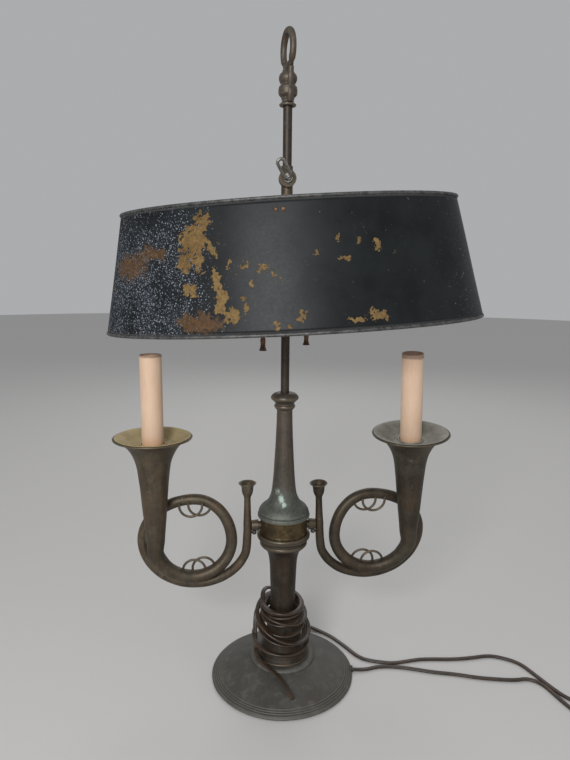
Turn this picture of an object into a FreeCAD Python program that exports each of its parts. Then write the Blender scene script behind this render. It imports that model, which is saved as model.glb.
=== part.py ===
import FreeCAD, Part
import math
import os
import re
import Sketcher

# Two-light bouillotte lamp: a turned stand with two hunting-horn arms, an oval shade that slides and
# swivels on the rod, pull-chain sockets under the shade and a twin flex wound round the pedestal.
# Origin: centre of the felt's underside. +Z is up, the arms lie along X, the front faces -Y.

SIZES = {
    # foot
    "foot_radius": 85.0, "foot_height": 27.5, "rim_step": 2.0, "rim_edge": 2.8, "rim_tier": 0.7,
    "boss_radius": 38.6, "boss_height": 4.2, "foot_wall": 3.5, "hub_radius": 10.0, "hub_depth": 14.0,
    "felt_thickness": 2.0, "felt_proud": 0.5, "felt_inset": 7.0, "ledge_width": 5.0,
    # pedestal
    "pedestal_height": 154.6, "pedestal_base": 32.0, "waist_radius": 14.7, "waist_height": 76.0,
    "neck_radius": 16.4, "saucer_rim": 3.4, "saucer_band": 6.4, "recess_depth": 2.6,
    "casting_wall": 3.5,
    # arm drum
    "drum_radius": 27.4, "drum_height": 22.0, "drum_wall": 3.0,
    # upper column and its cap
    "column_height": 126.0, "lip_overhang": 2.8, "column_waist": 14.1, "column_top": 8.8,
    "cap_height": 20.0, "cap_radius": 15.8,
    # rod and what clamps the stack
    "rod_radius": 4.76, "rod_wall": 1.2, "rod_tail": 9.5, "slip_gap": 0.08, "rod_top": 655.0,
    "washer_thickness": 1.5, "washer_radius": 9.0, "nut_height": 6.0, "nut_flats": 15.0,
    # finial
    "finial_seat": 6.0, "finial_height": 37.5, "finial_radius": 10.0, "loop_height": 18.5,
    "loop_width": 14.0, "loop_bar": 3.2, "loop_turn": 75.0,
    # arms
    "stub_reach": 14.6, "stub_radius": 6.6, "stub_shoulder": 2.0, "stub_screw_radius": 2.9,
    "left_lean": 0.0, "right_lean": 4.5, "left_roll": 0.0, "right_roll": 2.6,
    "pipe_radius": 4.9, "pipe_top_radius": 3.6, "pipe_rise": 34.0, "pipe_drop": 8.0,
    "mouth_radius": 8.6, "mouth_height": 18.0,
    "coil_offset": 61.0, "coil_drop": 19.5, "coil_inboard": 61.0, "coil_outboard": 60.5,
    "coil_inner": 42.0, "coil_low": 52.5, "coil_high": 50.7, "coil_inner_low": 40.5,
    "tube_radius": 5.2, "coil_back": 10.5, "bell_front": 9.5,
    "bell_reach": 104.0, "bell_drop": 31.5, "bell_height": 142.0, "bell_radius": 43.5,
    "bell_foot_radius": 8.0, "bell_throat": 13.2, "bell_wall": 1.8, "web_height": 76.0,
    "web_thickness": 12.0,
    "crook_wire": 1.4, "crook_radius": 13.0, "crook_depth": 16.0, "crook_split": 3.4,
    # candles
    "dish_wall": 1.2, "dish_floor": 131.9, "dish_radius": 38.0,
    "cover_radius": 12.0, "cover_wall": 1.1, "cover_length": 99.5, "rest_gap": 0.3,
    "nipple_radius": 4.9, "nipple_top": 142.0, "socket_gap": 0.6, "socket_length": 84.0,
    "socket_wall": 2.3, "shell_radius": 6.1, "shell_depth": 22.0, "floor_thickness": 4.0,
    # lamp cluster inside the shade
    "cluster_height": 462.0, "cluster_radius": 15.0, "cluster_length": 24.0, "lamp_cap_radius": 17.6,
    "lamp_cap_length": 20.0, "lamp_cap_start": 22.0, "lamp_shell_length": 42.0, "lamp_wall": 0.9,
    "lamp_bore": 13.2, "lamp_nipple": 5.0, "guide_radius": 3.6, "guide_length": 16.0,
    "guide_side": 26.0, "guide_front": 24.0, "guide_gap": 0.6,
    # pull chains
    "chain_bead": 1.5, "chain_pitch": 3.4, "chain_wire": 0.5, "pull_height": 398.5,
    "pull_length": 14.0, "pull_radius": 4.0, "pull_top_radius": 2.6,
    # shade and its carrier
    "shade_height": 118.5, "shade_top_length": 177.0, "shade_top_width": 100.0,
    "shade_bottom_length": 202.5, "shade_bottom_width": 126.0, "shade_wall": 0.9,
    "bead_radius": 1.7, "shade_seat": 541.0, "strap_below_rim": 5.4, "strap_width": 14.0,
    "strap_thickness": 2.0, "tab_length": 12.0, "hub_ring_radius": 13.0, "hub_ring_height": 3.0,
    "hub_gap": 0.8, "shade_tilt": 3.6, "shade_turn": 8.8, "rivet_radius": 1.3, "rivet_head": 2.3,
    "rivet_spacing": 7.0,
    "carrier_wall": 1.34, "carrier_gap": 0.08, "carrier_top": 590.0, "flange_radius": 12.0,
    "flange_thickness": 3.0, "seat_gap": 1.0, "knob_height": 577.0, "knob_radius": 9.0,
    "knob_length": 10.0,
    # thumb-screw key
    "key_shank": 2.4, "key_gap": 0.06, "key_collar": 4.7, "key_collar_length": 2.2,
    "key_stem": 4.0, "key_wire": 1.7, "key_loop_width": 3.6, "key_loop_length": 7.5,
    "key_slant": 35.0, "key_forward": 35.0,
    # cord
    "cord_radius": 2.6, "bushing_width": 8.4, "bushing_height": 3.2, "bushing_length": 11.2,
    "bushing_proud": 1.2, "bushing_turn": -4.0,
    "bundle_low": 34.0, "bundle_high": 97.0, "bundle_radius": 37.6, "bundle_top_radius": 31.0,
    "bundle_gap": 0.5,
}

doc = FreeCAD.newDocument("bouillotte_lamp")
sheet = doc.addObject("Spreadsheet::Sheet", "sizes")
for row, (alias, value) in enumerate(SIZES.items(), start=1):
    sheet.set(f"A{row}", alias)
    sheet.set(f"B{row}", str(value))
    sheet.setAlias(f"B{row}", alias)
doc.recompute()

parts = []
WORD = re.compile(r"[a-z][a-z0-9_]*")


def bound(text):
    """The expression with each size's name pointing at the sheet."""
    return WORD.sub(lambda m: "sizes." + m.group() if m.group() in SIZES else m.group(), str(text))


def value(text):
    """The number that an expression gives now."""
    result = sheet.evalExpression(bound(text))
    return float(getattr(result, "Value", result))


def bind(thing, **expressions):
    """Tie properties to expressions; x, y and z are the placement's own."""
    for key, text in expressions.items():
        path = f"Placement.Base.{key}" if key in ("x", "y", "z") else key
        thing.setExpression(path, bound(text))
    return thing


def keep(thing, name):
    """Count an object as one of the lamp's pieces, under its own name."""
    thing.Label = name
    parts.append(thing)
    return thing


def rotation(axis, degrees):
    return FreeCAD.Rotation(FreeCAD.Vector(*axis), degrees)


def arc_middle(start, end, radius):
    """The middle of the short arc from start to end; a positive radius turns to the left."""
    middle = (start + end) * 0.5
    chord = end - start
    half = chord.Length / 2
    left = FreeCAD.Vector(-chord.y, chord.x, 0).normalize()
    centre_way = 1 if radius > 0 else -1
    sagitta = abs(radius) - math.sqrt(radius * radius - half * half)
    return middle - left * sagitta * centre_way


def outline_sketch(body, name, outline):
    """A closed sketch on the body's XZ plane, every corner and arc radius bound to the sheet."""
    sketch = body.newObject("Sketcher::SketchObject", name)
    plane = next(f for f in body.Origin.OriginFeatures if f.Role == "XZ_Plane")
    sketch.AttachmentSupport = [(plane, "")]
    sketch.MapMode = "FlatFace"
    corners = [FreeCAD.Vector(value(c[0]), value(c[1]), 0) for c in outline]
    starts, ends, bends = [], [], []
    for i, corner in enumerate(outline):
        here, there = corners[i - 1], corners[i]
        if len(corner) == 3:
            radius = value(corner[2])
            arc = Part.Arc(here, arc_middle(here, there, radius), there)
            sketch.addGeometry(arc, False)
            starts.append(1 if radius > 0 else 2)
            bends.append((i, corner[2]))
        else:
            sketch.addGeometry(Part.LineSegment(here, there), False)
            starts.append(1)
        ends.append(3 - starts[-1])
    for i in range(len(outline)):
        after = (i + 1) % len(outline)
        sketch.addConstraint(Sketcher.Constraint("Coincident", i, ends[i], after, starts[after]))
    for i, corner in enumerate(outline):
        for kind, text in zip(("DistanceX", "DistanceY"), corner):
            index = sketch.addConstraint(Sketcher.Constraint(kind, -1, 1, i, ends[i], value(text)))
            sketch.setExpression(f"Constraints[{index}]", bound(text))
    for i, text in bends:
        index = sketch.addConstraint(Sketcher.Constraint("Radius", i, abs(value(text))))
        sketch.setExpression(f"Constraints[{index}]", bound(f"abs({text})"))
    return sketch


def turned(name, outline, kept=True):
    """A piece turned about its own Z axis from an outline of (radius, height[, arc radius])."""
    body = doc.addObject("PartDesign::Body", name)
    sketch = outline_sketch(body, name + "_outline", outline)
    turn = body.newObject("PartDesign::Revolution", name + "_turn")
    turn.Profile = sketch
    turn.ReferenceAxis = (sketch, ["V_Axis"])
    turn.Angle = 360
    return keep(body, name) if kept else body


def ring(name, outer, inner, height, kept=True):
    """A plain tube, washer or disc with a hole."""
    return turned(name, [(inner, "0"), (outer, "0"), (outer, height), (inner, height)], kept)


def primitive(kind, name, turn=None, **expressions):
    thing = doc.addObject("Part::" + kind, name)
    if turn is not None:
        thing.Placement = FreeCAD.Placement(FreeCAD.Vector(), turn)
    return bind(thing, **expressions)


def cut(name, base, tool):
    result = doc.addObject("Part::Cut", name)
    result.Base, result.Tool = base, tool
    return result


def fuse(name, *shapes):
    result = doc.addObject("Part::MultiFuse", name)
    result.Shapes = list(shapes)
    return result


def feature(name, shape, place=None):
    """A piece whose shape comes from Part's own functions."""
    thing = doc.addObject("Part::Feature", name)
    thing.Shape = shape
    if place is not None:
        thing.Placement = place
    return keep(thing, name)


def rounded_path(points, closed=False):
    """Straight runs joined by the largest tangent arcs, with the arc radii and the length."""
    points = [FreeCAD.Vector(*p) for p in points]
    count = len(points)
    corners = range(count) if closed else range(1, count - 1)
    share = 0.45
    cuts, radii = {}, []
    for i in corners:
        before, here, after = points[i - 1], points[i], points[(i + 1) % count]
        back, on = before - here, after - here
        trim = share * min(back.Length, on.Length)
        half_turn = (math.pi - back.getAngle(on)) / 2
        radius = trim / math.tan(half_turn)
        radii.append(radius)
        start, end = here + back.normalize() * trim, here + on.normalize() * trim
        inward = (start + end) * 0.5 - here
        reach = radius / math.cos(half_turn) - radius
        cuts[i] = (start, here + inward.normalize() * reach, end)
    edges = []
    for i in range(count if closed else count - 1):
        after = (i + 1) % count
        run_start = cuts[i][2] if i in cuts else points[i]
        run_end = cuts[after][0] if after in cuts else points[after]
        edges.append(Part.LineSegment(run_start, run_end).toShape())
        if after in cuts:
            edges.append(Part.Arc(*cuts[after]).toShape())
    wire = Part.Wire(edges)
    return wire, radii, wire.Length


def pipe(path, radius):
    """A round bar along a path, made into one solid."""
    first = path.OrderedEdges[0]
    start = first.valueAt(first.FirstParameter)
    way = first.tangentAt(first.FirstParameter)
    section = Part.Wire([Part.Circle(start, way, radius).toShape()])
    return path.makePipeShell([section], True, False)


def group(shapes):
    return Part.Compound(shapes)


ROD_BORE = "(rod_radius + slip_gap)"
FELT_RADIUS = "(foot_radius - felt_inset)"
LEDGE_RADIUS = f"({FELT_RADIUS} - ledge_width)"
GLAND_FACE = "(foot_radius + bushing_proud)"
SAUCER_RADIUS = "(drum_radius + saucer_rim)"
LIP_RADIUS = "(drum_radius + lip_overhang)"
CARRIER_RADIUS = "(rod_radius + carrier_wall)"
FOOT_TOP = "(felt_proud + foot_height)"
DRUM_BASE = f"({FOOT_TOP} + pedestal_height - recess_depth)"
COLUMN_BASE = f"({DRUM_BASE} + drum_height)"
CAP_BASE = f"({COLUMN_BASE} + column_height)"
ARM_HEIGHT = f"({DRUM_BASE} + drum_height / 2)"
ARM_SIDE = "(drum_radius + stub_reach)"


# ---- foot and what is under it ----
def make_foot():
    tier = "foot_radius - {0} * rim_step"
    rim = "rim_edge + {0} * rim_tier"
    outline = [
        ("foot_radius", "0"),
        ("foot_radius", "rim_edge - 0.8"),
        (tier.format(1), rim.format(2), "rim_edge"),
        (tier.format(2), rim.format(3)), (tier.format(2), rim.format(4)),
        (tier.format(3), rim.format(5)), (tier.format(3), rim.format(6)),
        (tier.format(4), rim.format(7)),
        ("boss_radius", "foot_height - boss_height", "4 * boss_radius"),
        ("boss_radius", "foot_height - boss_height / 2"),
        ("boss_radius - boss_height / 2", "foot_height", "boss_height / 2"),
        (ROD_BORE, "foot_height"),
        (ROD_BORE, "foot_height - hub_depth"),
        ("hub_radius", "foot_height - hub_depth"),
        ("hub_radius", "foot_height - foot_wall"),
        ("boss_radius - 1.4 * foot_wall", "foot_height - foot_wall"),
        ("boss_radius - 1.4 * foot_wall", "foot_height - boss_height - foot_wall"),
        (LEDGE_RADIUS, rim.format(3), "-4 * boss_radius"),
        (LEDGE_RADIUS, "felt_thickness - felt_proud"),
        (f"{FELT_RADIUS} + rest_gap", "felt_thickness - felt_proud"),
        (f"{FELT_RADIUS} + rest_gap", "0"),
    ]
    blank = bind(turned("foot_casting", outline, kept=False), z="felt_proud")
    slot = primitive("Box", "bushing_slot", rotation((0, 0, 1), value("bushing_turn")),
                     Length=GLAND_FACE, Width="bushing_width", Height="bushing_height",
                     x="bushing_width / 2 * sin(bushing_turn)", y="-bushing_width / 2 * cos(bushing_turn)",
                     z="felt_thickness")
    hollow = primitive("Cylinder", "slot_start", Radius=LEDGE_RADIUS, Height="foot_height")
    keep(cut("foot", blank, cut("rim_slot", slot, hollow)), "foot")
    keep(primitive("Cylinder", "base_felt", Radius=FELT_RADIUS, Height="felt_thickness"), "base_felt")
    bushing = primitive("Box", "cord_bushing", rotation((0, 0, 1), value("bushing_turn")),
                        Length="bushing_length", Width="bushing_width", Height="bushing_height")
    inside = f"({GLAND_FACE} - bushing_length)"
    bind(bushing, x=f"{inside} * cos(bushing_turn) + bushing_width / 2 * sin(bushing_turn)",
         y=f"{inside} * sin(bushing_turn) - bushing_width / 2 * cos(bushing_turn)",
         z="felt_thickness")
    keep(bushing, "cord_bushing")


def make_clamp():
    hub_face = f"({FOOT_TOP} - hub_depth)"
    bind(ring("rod_washer", "washer_radius", ROD_BORE, "washer_thickness"),
         z=f"{hub_face} - washer_thickness")
    nut = primitive("Prism", "nut_blank", Polygon="6", Circumradius="nut_flats / 2 / cos(30)",
                    Height="nut_height")
    hole = primitive("Cylinder", "nut_hole", Radius=ROD_BORE, Height="nut_height")
    keep(bind(cut("rod_nut", nut, hole), z=f"{hub_face} - washer_thickness - nut_height"), "rod_nut")
    start = f"({hub_face} - rod_tail)"
    bind(ring("rod", "rod_radius", "rod_radius - rod_wall", f"rod_top - {start}"), z=start)


# ---- turned column ----
def make_column():
    band = "pedestal_height - saucer_band"
    bind(turned("pedestal", [
        ("pedestal_base", "0"), ("pedestal_base", "2"),
        ("pedestal_base - 3", "5", "3"),
        ("waist_radius + 1.3", "waist_height * 0.72", "-waist_height"),
        ("waist_radius", "waist_height"),
        ("neck_radius", "waist_height + 44"),
        (f"{SAUCER_RADIUS} - 6", "pedestal_height - 17", "-26"),
        (f"{SAUCER_RADIUS} - 3.6", "pedestal_height - 15"),
        (f"{SAUCER_RADIUS} - 3.6", f"{band} - 4.6", "2.6"),
        (f"{SAUCER_RADIUS} - 6", f"{band} - 3.6"),
        (f"{SAUCER_RADIUS} - 1.6", band),
        (SAUCER_RADIUS, f"{band} + 1.6", "1.8"),
        (SAUCER_RADIUS, "pedestal_height - 1.2"),
        (f"{SAUCER_RADIUS} - 1.2", "pedestal_height", "1.3"),
        ("drum_radius + slip_gap", "pedestal_height"),
        ("drum_radius + slip_gap", "pedestal_height - recess_depth"),
        (ROD_BORE, "pedestal_height - recess_depth"),
        (ROD_BORE, "pedestal_height - 16"),
        ("waist_radius - casting_wall", "pedestal_height - 26"),
        ("waist_radius - casting_wall", "18"),
        ("pedestal_base - 3 * casting_wall", "0"),
    ]), z=FOOT_TOP)
    drum = turned("drum_blank", [
        (ROD_BORE, "0"), ("drum_radius", "0"), ("drum_radius", "drum_height"),
        (ROD_BORE, "drum_height"), (ROD_BORE, "drum_height - drum_wall"),
        ("drum_radius - drum_wall", "drum_height - drum_wall"),
        ("drum_radius - drum_wall", "drum_wall"), (ROD_BORE, "drum_wall"),
    ], kept=False)
    cross = primitive("Cylinder", "stub_bores", rotation((0, 1, 0), 90), Height="2 * drum_radius",
                      Radius="stub_radius - stub_shoulder + slip_gap",
                      x="-drum_radius", z="drum_height / 2")
    keep(bind(cut("arm_drum", drum, cross), z=DRUM_BASE), "arm_drum")
    bind(turned("upper_column", [
        (ROD_BORE, "0"), (f"{LIP_RADIUS} - 0.8", "0"),
        (LIP_RADIUS, "1.5", "1.6"), (f"{LIP_RADIUS} - 0.2", "4.5"),
        (f"{LIP_RADIUS} - 1.4", "5.2"), (f"{LIP_RADIUS} - 1.2", "8"),
        ("column_waist + 4.4", "18", "20"),
        ("column_waist", "31", "-32"),
        ("column_waist - 4.1", "84"),
        ("column_top", "column_height"),
        (ROD_BORE, "column_height"),
    ]), z=COLUMN_BASE)
    bind(turned("column_cap", [
        (ROD_BORE, "0"), ("column_top + 0.2", "0"), ("column_top + 2.6", "3"),
        ("column_top + 2.6", "6.5", "2.4"), ("column_top + 1.4", "7.6"),
        ("cap_radius", "12.6"), ("cap_radius", "15", "2"),
        ("cap_radius - 5", "cap_height", "7"),
        (ROD_BORE, "cap_height"),
    ]), z=CAP_BASE)


def make_finial():
    base = "(rod_top - finial_seat)"
    bind(turned("finial_base", [
        (ROD_BORE, "0"), ("finial_radius - 1.4", "0"), ("finial_radius - 1.4", "2.2"),
        ("finial_radius - 3.7", "4.2"), ("finial_radius - 3.7", "6.6"),
        ("finial_radius - 0.4", "10", "-6"), ("finial_radius", "18.5"),
        ("finial_radius - 1.4", "20.4"), ("finial_radius - 1.4", "22.6"),
        ("finial_radius - 0.9", "24"), ("finial_radius - 0.9", "31", "6"),
        ("finial_radius - 3.2", "finial_height - 3"), ("finial_radius - 4", "finial_height"),
        ("0", "finial_height"), ("0", "finial_seat"), (ROD_BORE, "finial_seat"),
    ]), z=base)
    ellipse = Part.Ellipse(FreeCAD.Vector(), value("loop_height"), value("loop_width"))
    oval = Part.Wire([ellipse.toShape()])
    centre = FreeCAD.Vector(0, 0, value(f"{base} + finial_height + loop_height - loop_bar / 2"))
    upright = rotation((0, 0, 1), value("loop_turn")).multiply(rotation((1, 0, 0), 90))
    stand = upright.multiply(rotation((0, 0, 1), 90))
    feature("finial_loop", pipe(oval, value("loop_bar")), FreeCAD.Placement(centre, stand))


# ---- horn arms ----
def arm_place(side, sign, across, front, up, turn=None, level=False):
    """Placement of a piece of one arm, which leans forward and, unless it is level, rolls inwards."""
    tilt = rotation((1, 0, 0), value(side + "_lean"))
    if not level:
        tilt = rotation((0, 1, 0), -sign * value(side + "_roll")).multiply(tilt)
    offset = tilt.multVec(FreeCAD.Vector(sign * value(across), -value(front), value(up)))
    origin = FreeCAD.Vector(sign * value(ARM_SIDE), 0, value(ARM_HEIGHT))
    return FreeCAD.Placement(origin + offset, tilt.multiply(turn) if turn else tilt)


def coil_point(turn_degrees, sign):
    """A point of the horn's spiral: quarter ellipses between its named reaches."""
    reaches = ["coil_inboard", "coil_low", "coil_outboard", "coil_high",
               "coil_inner", "coil_inner_low", "bell_reach - coil_offset"]
    depths = ["0", "coil_back / 2", "coil_back", "coil_back", "coil_back / 3", "-bell_front / 3",
              "-bell_front"]
    quarter = min(int(turn_degrees // 90), len(reaches) - 2)
    pair = [value(r) for r in reaches[quarter:quarter + 2]]
    flat, steep = pair if quarter % 2 == 0 else pair[::-1]
    angle = math.radians(turn_degrees)
    share = (turn_degrees - 90 * quarter) / 90
    depth = value(depths[quarter]) * (1 - share) + value(depths[quarter + 1]) * share
    across = value("coil_offset") - flat * math.cos(angle)
    up = -value("coil_drop") - steep * math.sin(angle)
    return (sign * across, depth, up)


def make_horn(side, sign):
    lay = rotation((0, 1, 0), 90 * sign)
    start = "(-stub_reach - drum_wall / 2)"
    stub = turned(side + "_arm_stub", [
        ("0", "0"), ("stub_radius - stub_shoulder", "0"),
        ("stub_radius - stub_shoulder", "drum_wall + 0.4"),
        ("stub_radius", "drum_wall + 0.4"),
        ("stub_radius - 0.9", "stub_reach + drum_wall / 2 - pipe_radius"),
        ("0", "stub_reach + drum_wall / 2 - pipe_radius")])
    stub.Placement = arm_place(side, sign, start, "0", "0", lay, level=True)
    mouth = turned(side + "_mouthpiece", [
        ("0", "0"), ("pipe_radius", "0"), ("pipe_radius", "pipe_drop"),
        ("pipe_top_radius", "pipe_drop + pipe_rise"),
        ("pipe_top_radius + 1.6", "pipe_drop + pipe_rise + 8", "-30"),
        ("mouth_radius - 2.2", "pipe_drop + pipe_rise + mouth_height - 5"),
        ("mouth_radius", "pipe_drop + pipe_rise + mouth_height - 1", "-6"),
        ("mouth_radius - 0.6", "pipe_drop + pipe_rise + mouth_height"),
        ("mouth_radius - 2", "pipe_drop + pipe_rise + mouth_height"),
        ("mouth_radius - 4.4", "pipe_drop + pipe_rise + mouth_height - 5"),
        ("0", "pipe_drop + pipe_rise + mouth_height - 6"),
    ])
    mouth.Placement = arm_place(side, sign, "0", "0", "-pipe_drop")
    first = (0, 0, -value("pipe_drop"))
    steps = [coil_point(angle, sign) for angle in range(30, 530, 20)]
    path = rounded_path([first] + steps)[0]
    feature(side + "_horn_tube", pipe(path, value("tube_radius")),
            arm_place(side, sign, "0", "0", "0"))
    bell = turned(side + "_horn_bell", [
        ("tube_radius + slip_gap", "0"), ("bell_foot_radius", "0"), ("bell_throat", "62"),
        ("bell_throat + 6.6", "bell_height - 28.5", "-236"),
        ("bell_throat + 16.4", "bell_height - 9.5", "-51"),
        ("bell_radius - 0.9", "bell_height - 1.5", "-25.8"), ("bell_radius", "bell_height - 0.6", "1"),
        ("bell_radius - 1.2", "bell_height", "1.1"),
        ("bell_throat + 16.4 - 0.7 * bell_wall", "bell_height - 9.5 + 0.8 * bell_wall", "27.5"),
        ("bell_throat + 6.6 - bell_wall", "bell_height - 28.5 + 0.3 * bell_wall", "52"),
        ("bell_throat - bell_wall", "web_height + web_thickness", "236"),
        ("nipple_radius + slip_gap", "web_height + web_thickness"),
        ("nipple_radius + slip_gap", "web_height"),
        ("bell_throat - bell_wall", "web_height"),
        ("bell_throat - bell_wall", "62"),
    ])
    bell.Placement = arm_place(side, sign, "bell_reach", "bell_front", "-bell_drop")
    make_crooks(side, sign)
    make_candle(side, sign)


def make_crooks(side, sign):
    """Four wire loops, two at the top and two at the bottom of the coil's opening."""
    half, depth = value("crook_radius"), value("crook_depth")
    split = value("crook_split")
    inset = value("tube_radius")
    middle = value("coil_offset")
    high = value("coil_high - coil_drop") - inset + 1.4
    low = -value("coil_inner_low + coil_drop") + inset - 1.4
    loops = []
    for along, base, way, front in ((4, high, -1, split / 2), (-6, high, -1, -split / 2),
                                    (1, low, 1, split / 2), (-10, low + 1, 1, -split / 2)):
        back = 3.5 if way < 0 else 0
        x = sign * (middle + along)
        y = back - front
        tip = base + way * depth
        corner = base + way * (depth - half)
        mid = FreeCAD.Vector(x, y, tip)
        ends = [FreeCAD.Vector(x + s * half, y, base) for s in (-1, 1)]
        bends = [FreeCAD.Vector(x + s * half, y, corner) for s in (-1, 1)]
        wire = Part.Wire([Part.LineSegment(ends[0], bends[0]).toShape(),
                          Part.Arc(bends[0], mid, bends[1]).toShape(),
                          Part.LineSegment(bends[1], ends[1]).toShape()])
        loops.append(pipe(wire, value("crook_wire")))
    feature(side + "_crook_rings", group(loops), arm_place(side, sign, "0", "0", "0"))


def make_candle(side, sign):
    floor = "dish_floor"
    dish = turned(side + "_drip_dish", [
        ("nipple_radius + slip_gap", floor), ("bell_throat + 11", floor),
        ("bell_throat + 15.2", f"{floor} + 2.8"),
        ("dish_radius", "bell_height - 0.2", "-27"),
        ("dish_radius - 0.6", "bell_height + 0.6"), ("dish_radius - 1.6", "bell_height + 0.2"),
        ("bell_throat + 14.4", f"{floor} + 2.9 + dish_wall", "27"),
        ("bell_throat + 10.4", f"{floor} + dish_wall"),
        ("cover_radius + 2.4", f"{floor} + dish_wall"),
        ("cover_radius + 2.0", f"{floor} + 2 * dish_wall"),
        ("cover_radius + 0.9", f"{floor} + 2 * dish_wall"),
        ("cover_radius + 0.7", f"{floor} + dish_wall"),
        ("nipple_radius + slip_gap", f"{floor} + dish_wall"),
    ])
    stand = arm_place(side, sign, "bell_reach", "bell_front", "-bell_drop")
    dish.Placement = stand
    nipple = ring(side + "_candle_nipple", "nipple_radius", "nipple_radius - 1.4",
                  "nipple_top - web_height")
    nipple.Placement = arm_place(side, sign, "bell_reach", "bell_front", "web_height - bell_drop")
    body = "(cover_radius - cover_wall - socket_gap)"
    bore = f"({body} - socket_wall)"
    seat = "(nipple_top - floor_thickness)"
    socket = turned(side + "_candle_socket", [
        ("nipple_radius + slip_gap", "0"), (body, "0"), (body, "socket_length"),
        (bore, "socket_length"), (bore, "floor_thickness"),
        ("nipple_radius + slip_gap", "floor_thickness")])
    socket.Placement = arm_place(side, sign, "bell_reach", "bell_front", f"{seat} - bell_drop")
    shell = ring(side + "_candle_shell", f"{bore} - slip_gap", "shell_radius", "shell_depth")
    shell.Placement = arm_place(side, sign, "bell_reach", "bell_front",
                                f"{seat} + socket_length - shell_depth - 1 - bell_drop")
    cover = ring(side + "_candle_cover", "cover_radius", "cover_radius - cover_wall", "cover_length")
    cover.Placement = arm_place(side, sign, "bell_reach", "bell_front",
                                f"{floor} + dish_wall + rest_gap - bell_drop")


def make_stub_screws():
    """One round-headed screw under each stub."""
    screws = []
    for side, sign in (("left", -1), ("right", 1)):
        head = Part.makeSphere(value("stub_screw_radius"))
        place = arm_place(side, sign, "-pipe_radius - stub_screw_radius", "0",
                          "-stub_radius - 0.7 * stub_screw_radius")
        head.Placement = place
        screws.append(head)
    feature("stub_screws", group(screws))


# ---- lamp cluster, sockets and pull chains ----
def make_cluster():
    bind(turned("cluster_body", [
        (ROD_BORE, "0"), ("cluster_radius - 5", "0"), ("cluster_radius", "5", "6"),
        ("cluster_radius", "cluster_length - 5"),
        ("cluster_radius - 5", "cluster_length", "6"),
        (ROD_BORE, "cluster_length"),
    ]), z="cluster_height - cluster_length / 2")
    screw = primitive("Cylinder", "cluster_screw", rotation((1, 0, 0), -90), Radius="2",
                      Height="6", y="cluster_radius", z="cluster_height")
    keep(screw, "cluster_screw")
    for side, sign in (("left", -1), ("right", 1)):
        lay = rotation((0, 1, 0), 90 * sign)
        cap = turned(side + "_socket_cap", [
            ("0", "0"), ("lamp_nipple", "0"), ("lamp_nipple", "lamp_cap_start - cluster_radius"),
            ("lamp_nipple + 4", "lamp_cap_start - cluster_radius"),
            ("lamp_cap_radius + 0.4", "lamp_cap_start - cluster_radius + lamp_cap_length * 0.7", "14"),
            ("lamp_cap_radius + 0.4", "lamp_cap_start - cluster_radius + lamp_cap_length"),
            ("0", "lamp_cap_start - cluster_radius + lamp_cap_length")])
        bind(cap, x=f"{sign} * cluster_radius", z="cluster_height")
        cap.Placement.Rotation = lay
        far = "lamp_cap_start + lamp_cap_length"
        shell = ring(side + "_socket_shell", "lamp_cap_radius", "lamp_cap_radius - lamp_wall",
                     "lamp_shell_length")
        liner = ring(side + "_socket_liner", "lamp_cap_radius - lamp_wall - slip_gap", "lamp_bore",
                     "lamp_shell_length - 1")
        for piece in (shell, liner):
            bind(piece, x=f"{sign} * ({far})", z="cluster_height")
            piece.Placement.Rotation = lay
        make_guide(side, sign)


def make_guide(side, sign):
    """The chain's outlet: an arm from the socket's cap with a downward spout."""
    arm = primitive("Cylinder", side + "_guide_arm", rotation((1, 0, 0), -90 * sign),
                    Radius="guide_radius - 0.6", Height="guide_front - lamp_nipple",
                    x=f"{sign} * guide_side", y=f"{sign} * lamp_nipple", z="cluster_height")
    spout = primitive("Cylinder", side + "_spout", Radius="guide_radius", Height="guide_length",
                      x=f"{sign} * guide_side", y=f"{sign} * guide_front",
                      z="cluster_height + guide_radius - guide_length")
    hole = primitive("Cylinder", side + "_spout_hole", Radius="chain_bead + guide_gap",
                     Height="guide_length - 2", x=f"{sign} * guide_side",
                     y=f"{sign} * guide_front", z="cluster_height + guide_radius - guide_length")
    inside = primitive("Cylinder", side + "_cap_room", rotation((0, 1, 0), 90 * sign),
                       Radius="lamp_cap_radius - 3", Height="3 * guide_side",
                       z="cluster_height")
    whole = cut(side + "_guide_drilled", fuse(side + "_guide_solid", arm, spout), hole)
    keep(cut(side + "_chain_guide", whole, inside), side + "_chain_guide")


def make_pull(side, sign):
    spot = {"x": f"{sign} * guide_side", "y": f"{sign} * guide_front"}
    bell = turned(side + "_pull_bell", [
        ("0", "0"), ("pull_radius", "0"), ("pull_radius - 0.6", "2"),
        ("pull_top_radius + 0.3", "pull_length - 4", "-14"),
        ("pull_top_radius", "pull_length - 1"), ("chain_bead", "pull_length"), ("0", "pull_length")])
    bind(bell, z="pull_height", **spot)
    top = value("cluster_height + guide_radius - 10")
    low = value("pull_height + pull_length")
    bead, pitch = value("chain_bead"), value("chain_pitch")
    count = int((top - low) / pitch)
    length = top - low
    x, y = value(spot["x"]), value(spot["y"])
    chain = Part.makeCylinder(value("chain_wire"), length, FreeCAD.Vector(x, y, low))
    first = low + bead + 0.2
    beads = [Part.makeSphere(bead, FreeCAD.Vector(x, y, first + i * pitch)) for i in range(count)]
    feature(side + "_pull_chain", chain.multiFuse(beads))


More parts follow.
